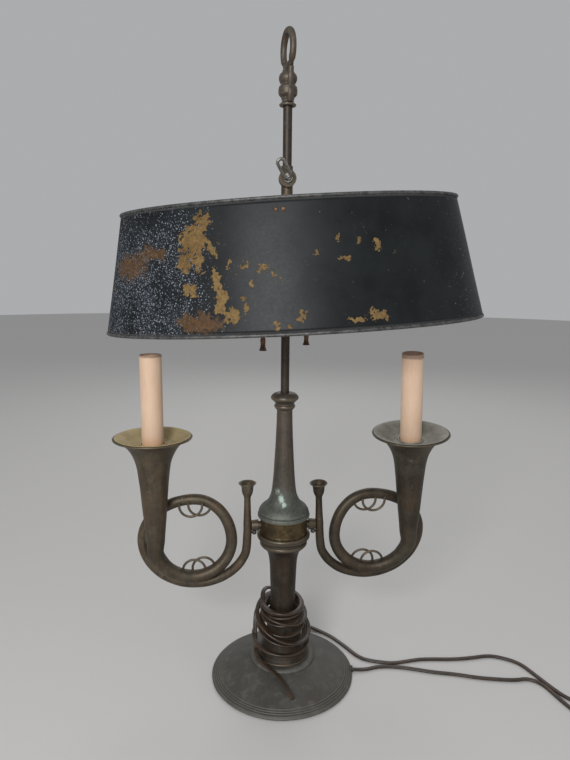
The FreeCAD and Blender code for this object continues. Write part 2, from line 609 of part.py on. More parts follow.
# ---- shade carrier and key ----
def make_carrier():
    base = "(shade_seat - seat_gap - flange_thickness)"
    bore = "(rod_radius + carrier_gap)"
    blank = fuse("carrier_blank",
                 primitive("Cylinder", "carrier_flange", Radius="flange_radius",
                           Height="flange_thickness", z=base),
                 primitive("Cylinder", "carrier_sleeve", Radius=CARRIER_RADIUS,
                           Height=f"carrier_top - {base}", z=base),
                 primitive("Cylinder", "carrier_knob", rotation((1, 0, 0), 90), Radius="knob_radius",
                           Height="knob_length", z="knob_height"))
    rod_hole = primitive("Cylinder", "carrier_bore", Radius=bore, Height=f"carrier_top - {base}",
                         z=base)
    key_hole = primitive("Cylinder", "key_hole", rotation((1, 0, 0), 90),
                         Radius="key_shank + key_gap", Height="knob_length", z="knob_height")
    keep(cut("shade_carrier", cut("carrier_drilled", blank, rod_hole), key_hole), "shade_carrier")


def make_key():
    tip = value("rod_radius + rest_gap")
    face = value("knob_length + rest_gap")
    height = value("knob_height")
    forward = FreeCAD.Vector(0, -1, 0)
    collar, stem = value("key_collar_length"), value("key_stem")
    shank = Part.makeCylinder(value("key_shank"), face - tip + collar + stem,
                              FreeCAD.Vector(0, -tip, height), forward)
    disc = Part.makeCylinder(value("key_collar"), collar, FreeCAD.Vector(0, -face, height), forward)
    feature("key_screw", shank.fuse(disc))
    half, reach = value("key_loop_width"), value("key_loop_length")
    ends = [(s * half, up) for up in (-reach, reach) for s in (-1, 1)]
    corners = [FreeCAD.Vector(x, 0, up) for x, up in ends]
    wire = Part.Wire([
        Part.LineSegment(corners[0], corners[2]).toShape(),
        Part.Arc(corners[2], FreeCAD.Vector(0, 0, reach + half), corners[3]).toShape(),
        Part.LineSegment(corners[3], corners[1]).toShape(),
        Part.Arc(corners[1], FreeCAD.Vector(0, 0, -reach - half), corners[0]).toShape()])
    lean = rotation((1, 0, 0), value("key_forward"))
    slant = rotation((0, 1, 0), -value("key_slant")).multiply(lean)
    up = slant.multVec(FreeCAD.Vector(0, 0, 1))
    root = FreeCAD.Vector(0, -face - collar - stem, height)
    centre = root + up * (reach + half)
    feature("key_handle", pipe(wire, value("key_wire")), FreeCAD.Placement(centre, slant))


# ---- shade, in its own frame: z = 0 at the underside of the strap ----
def shade_place(offset=(0, 0, 0), turn=None):
    tilt = rotation((0, 0, 1), -value("shade_turn")).multiply(rotation((0, 1, 0), -value("shade_tilt")))
    spot = FreeCAD.Vector(0, 0, value("shade_seat")) + tilt.multVec(FreeCAD.Vector(*offset))
    return FreeCAD.Placement(spot, tilt.multiply(turn) if turn else tilt)


RIM_LOW = "(strap_below_rim - shade_height)"


def oval_loft(name, inset):
    rims = []
    for level, length, width in ((RIM_LOW, "shade_bottom_length", "shade_bottom_width"),
                                 ("strap_below_rim", "shade_top_length", "shade_top_width")):
        oval = primitive("Ellipse", f"{name}_{len(rims)}", MajorRadius=f"{length} - {inset}",
                         MinorRadius=f"{width} - {inset}", z=level)
        rims.append(oval)
    loft = doc.addObject("Part::Loft", name)
    loft.Sections = rims
    loft.Solid, loft.Ruled = True, True
    return loft


def make_shade():
    pins = doc.addObject("Part::Feature", "rivet_pins")
    pins.Shape = make_strap()
    skin = cut("shade_skin", oval_loft("shade_outside", "0"), oval_loft("shade_inside", "shade_wall"))
    wall = cut("shade_wall", skin, pins)
    wall.Placement = shade_place()
    keep(wall, "shade_wall")
    for end, level in (("top", "strap_below_rim + bead_radius + slip_gap"),
                       ("bottom", f"{RIM_LOW} - bead_radius - slip_gap")):
        long, short = (value(f"shade_{end}_{size} - shade_wall / 2") for size in ("length", "width"))
        bead = pipe(Part.Wire([Part.Ellipse(FreeCAD.Vector(), long, short).toShape()]),
                    value("bead_radius"))
        feature(f"shade_{end}_bead", bead, shade_place((0, 0, value(level))))


def make_strap():
    """Front-to-back strap under the top rim, a sloping tab at each end; gives back its rivets."""
    slope = math.atan2(value("shade_bottom_width - shade_top_width"), value("shade_height"))
    width, thick, tab = (value(n) for n in ("strap_width", "strap_thickness", "tab_length"))
    flare = math.tan(slope) * value("strap_below_rim - strap_thickness")
    inside = value("shade_top_width - shade_wall") + flare
    sag = value("strap_width * strap_width * shade_top_width / 8 / shade_top_length / shade_top_length")
    reach = inside - sag - value("slip_gap")
    hole = value(f"{CARRIER_RADIUS} + hub_gap")
    bar_end = reach - thick / 2
    bar = Part.makeBox(width, 2 * bar_end, thick, FreeCAD.Vector(-width / 2, -bar_end, 0))
    strap = bar.cut(Part.makeCylinder(hole, thick))
    tabs, rivets = [], []
    for sign in (-1, 1):
        plate = Part.makeBox(width, thick, tab, FreeCAD.Vector(-width / 2, -thick, -tab))
        plate.rotate(FreeCAD.Vector(), FreeCAD.Vector(1, 0, 0), math.degrees(slope))
        plate.translate(FreeCAD.Vector(0, reach, thick))
        for across in (-1, 1):
            rivets.append(rivet(across * value("rivet_spacing") / 2, reach, slope))
        if sign < 0:
            plate.rotate(FreeCAD.Vector(), FreeCAD.Vector(0, 0, 1), 180)
            for pin in rivets[-2:]:
                pin.rotate(FreeCAD.Vector(), FreeCAD.Vector(0, 0, 1), 180)
        tabs.append(plate)
    strap = strap.multiFuse(tabs).removeSplitter()
    feature("shade_strap", strap.cut(group(rivets)), shade_place())
    feature("strap_rivets", group(rivets), shade_place())
    feature("shade_hub", Part.makeCylinder(value("hub_ring_radius"), value("hub_ring_height")).cut(
        Part.makeCylinder(hole, value("hub_ring_height"))), shade_place((0, 0, thick)))
    return group(rivets)


def rivet(across, reach, slope):
    """A rivet through tab and wall, its low round head outside."""
    thick, wall = value("strap_thickness"), value("shade_wall")
    out = FreeCAD.Vector(0, 1, 0)
    through = 1.4 * wall
    shank = Part.makeCylinder(value("rivet_radius"), thick + through, out * -thick, out)
    head = Part.makeCone(value("rivet_head"), value("rivet_head / 2"), wall, out * through, out)
    pin = shank.fuse(head)
    pin.translate(FreeCAD.Vector(across, 0, -value("tab_length") / 2))
    pin.rotate(FreeCAD.Vector(), FreeCAD.Vector(1, 0, 0), math.degrees(slope))
    pin.translate(FreeCAD.Vector(0, reach, thick))
    return pin


# ---- cord: out of the foot's rim, right, back behind the foot and up to the bundle ----
def make_cord():
    lie = value("cord_radius") + 0.2
    turn = math.radians(value("bushing_turn"))
    gate = value(GLAND_FACE)
    floor_route = [
        (118, -1.5), (140, -3.3), (161, -9.2), (182, -16.7), (211, -23.1), (232, -30.5),
        (254, -35.2), (278, -39), (294, -36.5), (307, -47), (312.5, -70), (320, -96), (337, -120),
        (364, -132), (386, -128), (398, -108), (388, -88), (364, -82), (340, -86), (322, -74),
        (311, -46), (304.5, -27), (297, -7), (278, 5.6), (263, 10), (243, 7), (216, 5.5),
        (178, 9.4), (155, 5.5), (139, 3.2), (122, 7), (104, 13.5), (94, 25.4), (86.5, 40),
        (78, 53.7), (69, 67), (58, 78)]
    climb = [(41, 89, 4.2), (25, 82, 11), (16, 67, 17.5), (10, 52, 25), (6, 42, 33), (4, 35, 40)]
    lead = [(reach * math.cos(turn), reach * math.sin(turn), lie) for reach in (gate, gate + 15)]
    lead += [(x, y, lie) for x, y in floor_route] + climb
    tail = [(-33, -2, 37), (-32, -18, 34), (-23, -32, 32), (-13.5, -41, 29.5), (-5.5, -51, 25),
            (1, -61, 20.5), (6, -70, 15.5)]
    for name, points in (("cord_lead", lead), ("cord_tail", tail)):
        path, radii, length = rounded_path(points)
        solid = pipe(path, value("cord_radius"))
        section = math.pi * value("cord_radius") ** 2
        print(name, "length", round(length), "volume ratio", round(solid.Volume / section / length, 4),
              "radii", [round(r) for r in radii])
        feature(name, solid)
    rise = "(bundle_high - bundle_low)"
    bind(turned("cord_bundle", [
        ("pedestal_base - 2.6 + bundle_gap", "0"), ("bundle_radius", "0"),
        ("bundle_radius", f"{rise} / 3"), ("bundle_top_radius", rise),
        ("waist_radius + 2.4 + bundle_gap", rise), ("waist_radius + 2.4 + bundle_gap", "42"),
        ("waist_radius + 3.2 + bundle_gap", "28"), ("waist_radius + 7 + bundle_gap", "14"),
    ]), z="bundle_low")


make_foot()
make_clamp()
make_column()
make_finial()
for arm_side, arm_sign in (("left", -1), ("right", 1)):
    make_horn(arm_side, arm_sign)
    make_pull(arm_side, arm_sign)
make_stub_screws()
make_cluster()
make_carrier()
make_key()
make_shade()
make_cord()
doc.recompute()

for thing in doc.Objects:
    if "Invalid" in thing.State or "Error" in thing.State:
        raise RuntimeError(f"{thing.Label} failed: {thing.State}")
for piece in parts:
    if piece.Shape.isNull() or not piece.Shape.isValid() or not piece.Shape.Solids:
        raise RuntimeError(f"{piece.Label} has no valid solid")
os.makedirs("parts", exist_ok=True)
for piece in parts:
    piece.Shape.exportStep(f"parts/{piece.Label}.step")
    box = piece.Shape.optimalBoundingBox(True, True)
    print(f"{piece.Label:22s} solids {len(piece.Shape.Solids)}  volume {piece.Shape.Volume:9.0f}  "
          f"z {box.ZMin:6.1f} to {box.ZMax:6.1f}")
print(len(parts), "pieces")
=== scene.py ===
import math
import random

import bpy
from mathutils import Matrix, Vector, noise


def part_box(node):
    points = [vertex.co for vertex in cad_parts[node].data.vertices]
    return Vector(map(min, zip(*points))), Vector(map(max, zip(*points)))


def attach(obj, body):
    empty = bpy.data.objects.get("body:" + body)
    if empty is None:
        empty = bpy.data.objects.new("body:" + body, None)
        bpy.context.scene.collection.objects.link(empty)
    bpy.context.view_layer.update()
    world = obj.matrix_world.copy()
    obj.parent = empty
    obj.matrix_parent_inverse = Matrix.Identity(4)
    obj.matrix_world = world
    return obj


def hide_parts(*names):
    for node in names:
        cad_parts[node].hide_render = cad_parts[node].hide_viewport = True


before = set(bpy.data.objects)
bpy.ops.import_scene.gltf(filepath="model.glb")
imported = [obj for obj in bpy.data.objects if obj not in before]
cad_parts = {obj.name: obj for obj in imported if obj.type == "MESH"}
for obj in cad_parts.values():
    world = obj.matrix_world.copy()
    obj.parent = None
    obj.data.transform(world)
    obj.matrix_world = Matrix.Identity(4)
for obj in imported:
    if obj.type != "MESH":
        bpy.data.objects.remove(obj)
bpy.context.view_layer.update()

mm = 0.001

# camera and light

view = {
    "azimuth": -5.0, "distance": 0.675, "height": 0.486,  # where the camera stands, in degrees and metres
    "lookDown": 10.4, "roll": 0.58, "lens": 29.13,
}


def makeCamera():
    data = bpy.data.cameras.new("viewCamera")
    data.lens = view["lens"]
    data.sensor_width = 36
    camera = bpy.data.objects.new("viewCamera", data)
    bpy.context.collection.objects.link(camera)
    turn = math.radians(view["azimuth"])
    spot = Vector((math.sin(turn), -math.cos(turn), 0)) * view["distance"]
    spot.z = view["height"]
    aim = Matrix.Rotation(turn, 4, "Z") @ Matrix.Rotation(math.radians(90 - view["lookDown"]), 4, "X")
    camera.matrix_world = Matrix.Translation(spot) @ aim @ Matrix.Rotation(math.radians(view["roll"]), 4, "Z")
    bpy.context.scene.camera = camera


light = {
    "key": {"spot": (-0.50, -1.40, 0.98), "size": 0.55, "power": 17},
    "fill": {"spot": (1.5, -1.1, 0.9), "size": 1.4, "power": 1.5},
    "back": {"spot": (0.3, 1.5, 1.4), "size": 1.4, "power": 7},
    "sky": ((0.82, 0.83, 0.85), 0.50),
    "floorRadius": 6.0, "floorSides": 64, "floorColor": (0.60, 0.59, 0.575),
}


def makeLights():
    for name in ("key", "fill", "back"):
        lamp = light[name]
        data = bpy.data.lights.new(name, "AREA")
        data.shape = "DISK"
        data.size = lamp["size"]
        data.energy = lamp["power"]
        piece = bpy.data.objects.new(name, data)
        piece.location = lamp["spot"]
        piece.rotation_euler = (Vector((0, 0, 0.3)) - piece.location).to_track_quat("-Z", "Y").to_euler()
        bpy.context.collection.objects.link(piece)
    world = bpy.data.worlds.new("studio")
    world.use_nodes = True
    color, strength = light["sky"]
    world.node_tree.nodes["Background"].inputs["Color"].default_value = (*color, 1)
    world.node_tree.nodes["Background"].inputs["Strength"].default_value = strength
    bpy.context.scene.world = world
    bpy.context.scene.view_settings.view_transform = "Standard"


makeCamera()
makeLights()
print("camera and lights set")

# shader maths


class Flow:
    # one socket; Python arithmetic on it adds Math nodes
    def __init__(self, net, socket):
        self.net = net
        self.socket = socket

    def __add__(self, other):
        return self.net.math("ADD", self, other)

    def __radd__(self, other):
        return self.net.math("ADD", other, self)

    def __sub__(self, other):
        return self.net.math("SUBTRACT", self, other)

    def __rsub__(self, other):
        return self.net.math("SUBTRACT", other, self)

    def __mul__(self, other):
        return self.net.math("MULTIPLY", self, other)

    def __rmul__(self, other):
        return self.net.math("MULTIPLY", other, self)

    def orMore(self, other):
        return self.net.math("MAXIMUM", self, other)

    def orLess(self, other):
        return self.net.math("MINIMUM", self, other)

    def step(self, low, high):
        # 0 at low, 1 at high, eased between
        return self.net.add("MapRange", {"interpolation_type": "SMOOTHSTEP"},
                            {"Value": self, "From Min": low, "From Max": high})


class Net:
    # one material's nodes
    def __init__(self, name):
        self.material = bpy.data.materials.new(name)
        self.material.use_nodes = True
        self.tree = self.material.node_tree
        self.tree.nodes.clear()
        self.place = self.add("TexCoord", output="Object")

    def find(self, sockets, key):
        if isinstance(key, int):
            return sockets[key]
        return next(s for s in sockets if s.identifier == key or (s.name == key and s.enabled))

    def add(self, kind, settings=None, inputs=None, output=0):
        # settings first, such as an operation or a ramp's stops, then values or links for the sockets
        node = self.tree.nodes.new("ShaderNode" + kind)
        for key, setting in (settings or {}).items():
            if key == "stops":
                while len(node.color_ramp.elements) < len(setting):
                    node.color_ramp.elements.new(0.5)
                for stop, (position, color) in zip(node.color_ramp.elements, setting):
                    stop.position = position
                    stop.color = (*color, 1)
            else:
                setattr(node, key, setting)
        for key, value in (inputs or {}).items():
            socket = self.find(node.inputs, key)
            if isinstance(value, Flow):
                self.tree.links.new(value.socket, socket)
            elif socket.type == "RGBA":
                socket.default_value = (*value, 1)
            else:
                socket.default_value = value
        return Flow(self, self.find(node.outputs, output))

    def math(self, operation, *values):
        return self.add("Math", {"operation": operation}, dict(enumerate(values)))

    def vector(self, operation, *values, output=0):
        return self.add("VectorMath", {"operation": operation}, dict(enumerate(values)), output)

    def mix(self, factor, first, second, blend="MIX"):
        return self.add("Mix", {"data_type": "RGBA", "blend_type": blend},
                        {"Factor_Float": factor, "A_Color": first, "B_Color": second}, "Result_Color")

    def noise(self, size, detail, rough, at=None):
        # size is the width of one patch, in metres
        return self.add("TexNoise", None, {"Vector": at or self.place, "Scale": 1 / size, "Detail": detail,
                                           "Roughness": rough})

    def cells(self, size, output="Distance"):
        return self.add("TexVoronoi", None, {"Vector": self.place, "Scale": 1 / size}, output)

    def stretched(self, x=1.0, y=1.0, z=1.0):
        return self.vector("MULTIPLY", self.place, (x, y, z))

    def axis(self, letter):
        return self.add("SeparateXYZ", None, {0: self.place}, "XYZ".index(letter))

    def mark(self, name):
        # a value that the mesh carries at its points
        return self.add("Attribute", {"attribute_name": name}, None, "Fac")

    def bump(self, height, depth, strength):
        return self.add("Bump", None, {"Height": height, "Strength": strength, "Distance": depth})

    def finish(self, color, rough, **others):
        names = {"metal": "Metallic", "normal": "Normal", "coat": "Coat Weight", "coatRough": "Coat Roughness",
                 "sheen": "Sheen Weight", "specular": "Specular IOR Level"}
        inputs = {"Base Color": color, "Roughness": rough}
        inputs.update({names[key]: value for key, value in others.items()})
        shader = self.add("BsdfPrincipled", None, inputs)
        end = self.tree.nodes.new("ShaderNodeOutputMaterial")
        self.tree.links.new(shader.socket, end.inputs["Surface"])
        return self.material

# materials; sizes inside them are in metres


def liftColor(color, amount):
    return tuple(channel * amount for channel in color)


bronze = {
    "brown": (0.118, 0.094, 0.064), "gold": (0.25, 0.205, 0.135),
    "rust": (0.150, 0.086, 0.046), "green": (0.120, 0.150, 0.118), "pale": (0.40, 0.43, 0.38),
    "metal": 0.62, "rough": 0.40,
}


def bronzeFinish(name, brown=1.0, goldShare=0.5, greenShare=0.25, paleShare=0.0, streaks=0.4, tint=None, rough=0.0,
                 dusty=None):
    # dull patina: dark in the hollows, rubbed pale on the edges, verdigris in faint clouds, streaks down the sides
    net = Net(name)
    cloud = net.noise(0.030, 5, 0.6)
    grain = net.noise(0.0035, 6, 0.65)
    speck = net.noise(0.0011, 3, 0.6)
    run = net.noise(0.009, 4, 0.6, net.stretched(1, 1, 0.10))
    wear = net.mark("wear")
    grime = net.mark("grime")
    base = tint or bronze["brown"]
    color = net.mix((cloud * 0.45 + grain * 0.3 + run * 0.25).step(0.30, 0.68), liftColor(base, 0.42 * brown),
                    liftColor(base, 1.12 * brown))
    color = net.mix((run + grain * 0.2 - 0.10).step(0.46, 0.68) * streaks, color, liftColor(bronze["rust"], brown))
    green = (net.noise(0.020, 6, 0.62) + grain * 0.25 + grime * 0.22 - 0.12).step(0.56 - 0.22 * greenShare, 0.80)
    color = net.mix(green * (0.2 + 0.6 * greenShare), color, liftColor(bronze["green"], brown))
    if dusty:
        # a paler stretch between two heights
        color = net.mix(net.axis("Z").step(*dusty) * (0.6 + 0.4 * grain), color, (0.080, 0.067, 0.051))
    rubbed = (wear * (0.45 + grain) + (cloud - 0.66) * goldShare).step(0.30, 0.95)
    color = net.mix(rubbed * (0.15 + 0.55 * goldShare), color, bronze["gold"])
    if paleShare:
        pale = (net.noise(0.010, 8, 0.75) + speck * 0.45 + grime * 0.15 - 0.22).step(0.68 - 0.22 * paleShare, 0.84)
        color = net.mix(pale * 0.8, color, bronze["pale"])
    dust = (speck + grain * 0.12).step(0.76, 0.82) * 0.5
    color = net.mix(dust, color, (0.42, 0.42, 0.37))
    dull = (green * 0.5 + dust * 0.4).orLess(1)
    height = grain * 0.6 + cloud * 0.3 + speck * 0.3 + green * 0.3
    return net.finish(color, (bronze["rough"] + rough + grain * 0.22 + green * 0.18 - rubbed * 0.10).orLess(0.95),
                      metal=bronze["metal"] * (1 - dull), normal=net.bump(height, 0.0005, 0.5))


# places on the upper column: across and up from its foot, half width and half height, in metres
verdigrisSpots = [(-0.0085, 0.0335, 0.0045, 0.0060), (-0.0045, 0.0265, 0.0050, 0.0070),
                  (-0.0015, 0.0195, 0.0035, 0.0045)]


def columnFinish():
    # brown neck with gold and green runs, a grey-green bulge and one bright verdigris patch on its shoulder
    net = Net("columnVerdigris")
    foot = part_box("upper_column")[0].z
    up = net.axis("Z")
    grain = net.noise(0.0032, 6, 0.68)
    cloud = net.noise(0.020, 5, 0.6)
    speck = net.noise(0.0011, 3, 0.6)
    run = net.noise(0.007, 5, 0.6, net.stretched(1, 1, 0.09))
    neck = net.mix((grain * 0.5 + cloud * 0.5).step(0.32, 0.66), (0.044, 0.035, 0.028), (0.096, 0.078, 0.064))
    neck = net.mix(run.step(0.44, 0.62) * 0.55, neck, (0.118, 0.092, 0.056))
    neck = net.mix((run + cloud * 0.3).step(0.62, 0.44) * 0.45, neck, (0.060, 0.078, 0.062))
    bulge = net.mix((grain * 0.55 + cloud * 0.45).step(0.34, 0.66), (0.068, 0.074, 0.062), (0.140, 0.147, 0.129))
    color = net.mix((up + (cloud - 0.5) * 0.020).step(foot + 0.046, foot + 0.020), neck, bulge)
    place = net.vector("ADD", net.place, (0, 0, -foot))
    patch = spotMask(net, verdigrisSpots, place, -0.02, 0.018) + (grain - 0.5) * 1.5
    color = net.mix(patch.step(0.10, 0.65) * 0.85, color, (0.40, 0.50, 0.44))
    color = net.mix((net.mark("wear") * (0.5 + grain)).step(0.35, 0.95) * 0.35, color, (0.19, 0.19, 0.16))
    color = net.mix((net.mark("grime") * (0.5 + grain)).step(0.3, 0.9) * 0.5, color, (0.045, 0.042, 0.034))
    dust = (speck + grain * 0.12).step(0.73, 0.80)
    color = net.mix(dust * 0.6, color, (0.45, 0.46, 0.41))
    return net.finish(color, 0.44 + grain * 0.25, metal=0.42,
                      normal=net.bump(grain + speck * 0.5 + cloud * 0.4, 0.0006, 0.5))


def footFinish():
    # pewter-grey bronze under a soft haze, with browner bands painted as the reflection of a brown table, and a few
    # specks
    net = Net("footBronze")
    cloud = net.noise(0.040, 6, 0.55)
    grain = net.noise(0.004, 7, 0.7)
    speck = net.noise(0.0012, 3, 0.55)
    wear = net.mark("wear")
    grime = net.mark("grime")
    color = net.mix((cloud * 0.6 + grain * 0.4).step(0.28, 0.72), (0.062, 0.060, 0.053), (0.106, 0.103, 0.092))
    # browner bands: a painted reflection of a brown table top
    color = net.mix(net.noise(0.07, 5, 0.55, net.stretched(1, 1, 3)).step(0.48, 0.72) * 0.6, color,
                    (0.090, 0.070, 0.050))
    haze = (net.noise(0.014, 8, 0.68) + speck * 0.25).step(0.58, 0.84)
    color = net.mix(haze * 0.5, color, (0.150, 0.150, 0.137))
    color = net.mix((wear * (0.5 + grain)).step(0.35, 0.95) * 0.4, color, (0.16, 0.15, 0.125))
    color = net.mix((grime * (0.5 + grain)).step(0.3, 0.9) * 0.5, color, (0.045, 0.042, 0.036))
    chips = (speck + grain * 0.15).step(0.79, 0.84)
    color = net.mix(chips * 0.7, color, (0.42, 0.42, 0.38))
    return net.finish(color, 0.46 + grain * 0.22 + haze * 0.12, metal=0.42 - haze * 0.2,
                      normal=net.bump(grain * 0.7 + cloud * 0.4 + chips * 0.3, 0.0005, 0.45))


def brassFinish(name, gold, dark, tarnish=0.5, rough=0.34, metal=0.85):
    # rubbed brass, brown in the pits
    net = Net(name)
    cloud = net.noise(0.014, 6, 0.65)
    grain = net.noise(0.0025, 6, 0.68)
    speck = net.noise(0.0010, 3, 0.6)
    color = net.mix((cloud * 0.6 + grain * 0.4 + (tarnish - 0.5) * 0.3).step(0.40, 0.62), gold, dark)
    color = net.mix(net.mark("wear").step(0.3, 0.9) * 0.5, color, liftColor(gold, 1.3))
    color = net.mix(net.mark("grime").step(0.3, 0.9) * 0.55, color, liftColor(dark, 0.5))
    green = (net.noise(0.009, 7, 0.7) + speck * 0.2).step(0.66, 0.78)
    color = net.mix(green * 0.35, color, (0.17, 0.20, 0.14))
    return net.finish(color, rough + cloud * 0.25 + grain * 0.12, metal=metal * (1 - green * 0.6),
                      normal=net.bump(grain * 0.7 + speck * 0.4, 0.0004, 0.5))


def steelFinish(name, light, dark, rough=0.42):
    net = Net(name)
    grain = net.noise(0.003, 6, 0.7)
    lines = net.noise(0.0008, 3, 0.5, net.stretched(1, 1, 0.06))
    color = net.mix((grain * 0.6 + lines * 0.4).step(0.38, 0.66), dark, light)
    color = net.mix(net.noise(0.008, 6, 0.7).step(0.60, 0.74) * 0.5, color, (0.16, 0.085, 0.045))
    return net.finish(color, rough + grain * 0.3, metal=0.85, normal=net.bump(grain + lines * 0.5, 0.0003, 0.5))


# worn places on the lacquered shade: across and up on its front, half width and half height, all in metres
wornSpots = [
    (-0.083, 0.508, 0.0135, 0.019), (-0.074, 0.526, 0.008, 0.010), (-0.092, 0.489, 0.008, 0.012),
    (-0.078, 0.487, 0.005, 0.009),
    (-0.066, 0.502, 0.006, 0.008), (-0.063, 0.474, 0.0045, 0.013), (-0.058, 0.454, 0.0065, 0.013),
    (-0.085, 0.463, 0.007, 0.007), (-0.046, 0.441, 0.009, 0.007), (-0.036, 0.452, 0.004, 0.008),
    (-0.051, 0.488, 0.003, 0.0045), (-0.020, 0.486, 0.0045, 0.003), (-0.010, 0.481, 0.0028, 0.0025),
    (-0.029, 0.470, 0.003, 0.004), (0.015, 0.442, 0.0034, 0.005), (0.004, 0.434, 0.003, 0.004),
    (-0.009, 0.435, 0.0035, 0.003), (0.047, 0.512, 0.0034, 0.0042), (0.054, 0.495, 0.005, 0.0035),
    (0.083, 0.507, 0.004, 0.0045), (0.064, 0.440, 0.011, 0.0035), (0.086, 0.444, 0.010, 0.005),
    (-0.038, 0.487, 0.0026, 0.003), (-0.003, 0.474, 0.0022, 0.0016), (0.030, 0.497, 0.002, 0.002),
]
spotShift = (0.011, 0, 0)
brownSpots = [(-0.151, 0.485, 0.024, 0.015), (-0.126, 0.497, 0.018, 0.008), (-0.078, 0.434, 0.024, 0.0095)]


def spotMask(net, spots, place, front=-0.10, depth=0.11):
    # greatest of the ellipses; the depth keeps them off the far side
    best = None
    for across, up, wide, high in spots:
        away = net.vector("SUBTRACT", place, (across, front, up))
        far = net.vector("LENGTH", net.vector("MULTIPLY", away, (1 / wide, 1 / depth, 1 / high)), output="Value")
        best = 1 - far if best is None else best.orMore(1 - far)
    return best


def toleFinish():
    # black lacquer over ochre priming: flakes, hazed and thickly specked at the left, scuffed at the right
    net = Net("blackTole")
    shifts = []
    for scale, detail, reach in ((120.0, 4.0, 0.022), (420.0, 3.0, 0.006)):
        wander = net.add("TexNoise", None, {"Vector": net.place, "Scale": scale, "Detail": detail, "Roughness": 0.6},
                         "Color")
        shifts.append(net.add("VectorMath", {"operation": "SCALE"},
                              {0: net.vector("SUBTRACT", wander, (0.5, 0.5, 0.5)), "Scale": reach}))
    place = net.vector("ADD", net.vector("ADD", net.place, spotShift), net.vector("ADD", *shifts))
    across, deep = net.axis("X"), net.axis("Y")
    grain = net.noise(0.0030, 6, 0.7)
    cloud = net.noise(0.030, 5, 0.6)
    torn = net.noise(0.0050, 6, 0.62) - 0.5
    flakes = (spotMask(net, wornSpots, place) + torn * 2.2).step(0.12, 0.20)
    brown = (spotMask(net, brownSpots, place) + torn).step(-0.10, 0.30)
    stray = (net.noise(0.0085, 5, 0.6) * 0.55 + net.noise(0.045, 3, 0.5) * 0.45).step(0.655, 0.675)
    bare = flakes.orMore(stray)
    left = across.step(-0.045, -0.120) * (0.25 + 0.75 * (0.06 - deep).step(0, 0.05))
    right = across.step(0.115, 0.180)
    low = net.axis("Z").step(0.545, 0.475) * 0.5 + 0.5
    crowd = (left * low * (0.55 + 0.45 * cloud.step(0.35, 0.6))).orMore(right * 0.22).orMore(0.04)
    # round specks of two sizes, each there or not by its own cell
    specks = 0
    for size, share in ((0.0021, 0.42), (0.0012, 0.50)):
        chance = net.cells(size, output="Color")
        there = (chance + crowd * share).step(0.90, 1.02)
        specks = (net.cells(size).step(0.44, 0.20) * there * (0.35 + 0.65 * crowd.step(0.05, 0.35))).orMore(specks)
    hazed = (net.noise(0.0022, 5, 0.7) + crowd * 0.1).step(0.48, 0.68) * crowd
    lacquer = net.mix(cloud.step(0.3, 0.7), (0.0045, 0.0055, 0.0065), (0.010, 0.0125, 0.014))
    lacquer = net.mix(hazed * 0.7, lacquer, (0.028, 0.033, 0.042))
    ochre = net.mix((grain * 0.6 + cloud * 0.4).step(0.36, 0.64), (0.235, 0.155, 0.060), (0.115, 0.068, 0.027))
    rust = net.mix(grain.step(0.35, 0.65), (0.125, 0.062, 0.022), (0.060, 0.034, 0.016))
    color = net.mix(brown * 0.85, lacquer, rust)
    color = net.mix(bare, color, ochre)
    pale = net.mix(grain, (0.15, 0.18, 0.23), (0.46, 0.49, 0.53))
    color = net.mix(specks * (1 - bare.orMore(brown * 0.7)) * 0.8, color, pale)
    rubbed = net.mark("wear").step(0.35, 0.9)
    color = net.mix(rubbed * 0.45, color, (0.13, 0.13, 0.125))
    height = 1 - bare.orMore(brown * 0.4) + grain * 0.12 + specks * 0.35
    return net.finish(color, (0.36 + 0.28 * left + grain * 0.16 + bare * 0.28 + specks * 0.2).orLess(0.95),
                      metal=0.0, specular=0.20, normal=net.bump(height, 0.0003, 0.6))


def shadeInsideFinish():
    # the inside keeps more of its dull gold-brown wash, sooty towards the top
    net = Net("shadeInside")
    grain = net.noise(0.003, 6, 0.7)
    cloud = net.noise(0.03, 5, 0.6)
    soot = (net.axis("Z") * 6 - 2.55 + cloud * 0.5).step(0, 1)
    color = net.mix((cloud * 0.6 + grain * 0.4).step(0.35, 0.65), (0.32, 0.27, 0.18), (0.20, 0.16, 0.10))
    color = net.mix(soot * 0.6, color, (0.05, 0.045, 0.04))
    color = net.mix(net.noise(0.0014, 3, 0.6).step(0.66, 0.72) * 0.7, color, (0.08, 0.05, 0.03))
    return net.finish(color, 0.55 + grain * 0.2, metal=0.3, normal=net.bump(grain, 0.0002, 0.5))


def candleFinish():
    # salmon card sleeve, browned at the foot and dirty at the cut rim
    net = Net("candleCard")
    up = net.axis("Z")
    fibre = net.noise(0.0022, 6, 0.65, net.stretched(1, 1, 0.12))
    cloud = net.noise(0.020, 4, 0.55, net.stretched(1, 1, 0.4))
    low = candle["foot"]
    high = candle["top"]
    color = net.mix(cloud.step(0.35, 0.7), (0.70, 0.50, 0.355), (0.64, 0.435, 0.30))
    color = net.mix(fibre.step(0.54, 0.70) * 0.35, color, (0.76, 0.60, 0.46))
    dirt = (up + cloud * 0.012).step(low + 0.020, low + 0.004)
    color = net.mix(dirt * 0.65, color, (0.50, 0.26, 0.12))
    color = net.mix((up + fibre * 0.002).step(high - 0.0022, high) * 0.75, color, (0.20, 0.12, 0.085))
    color = net.mix(net.noise(0.0015, 3, 0.5).step(0.68, 0.73) * 0.5, color, (0.45, 0.28, 0.20))
    return net.finish(color, 0.55 + fibre * 0.2, sheen=0.15, normal=net.bump(fibre, 0.0002, 0.4))


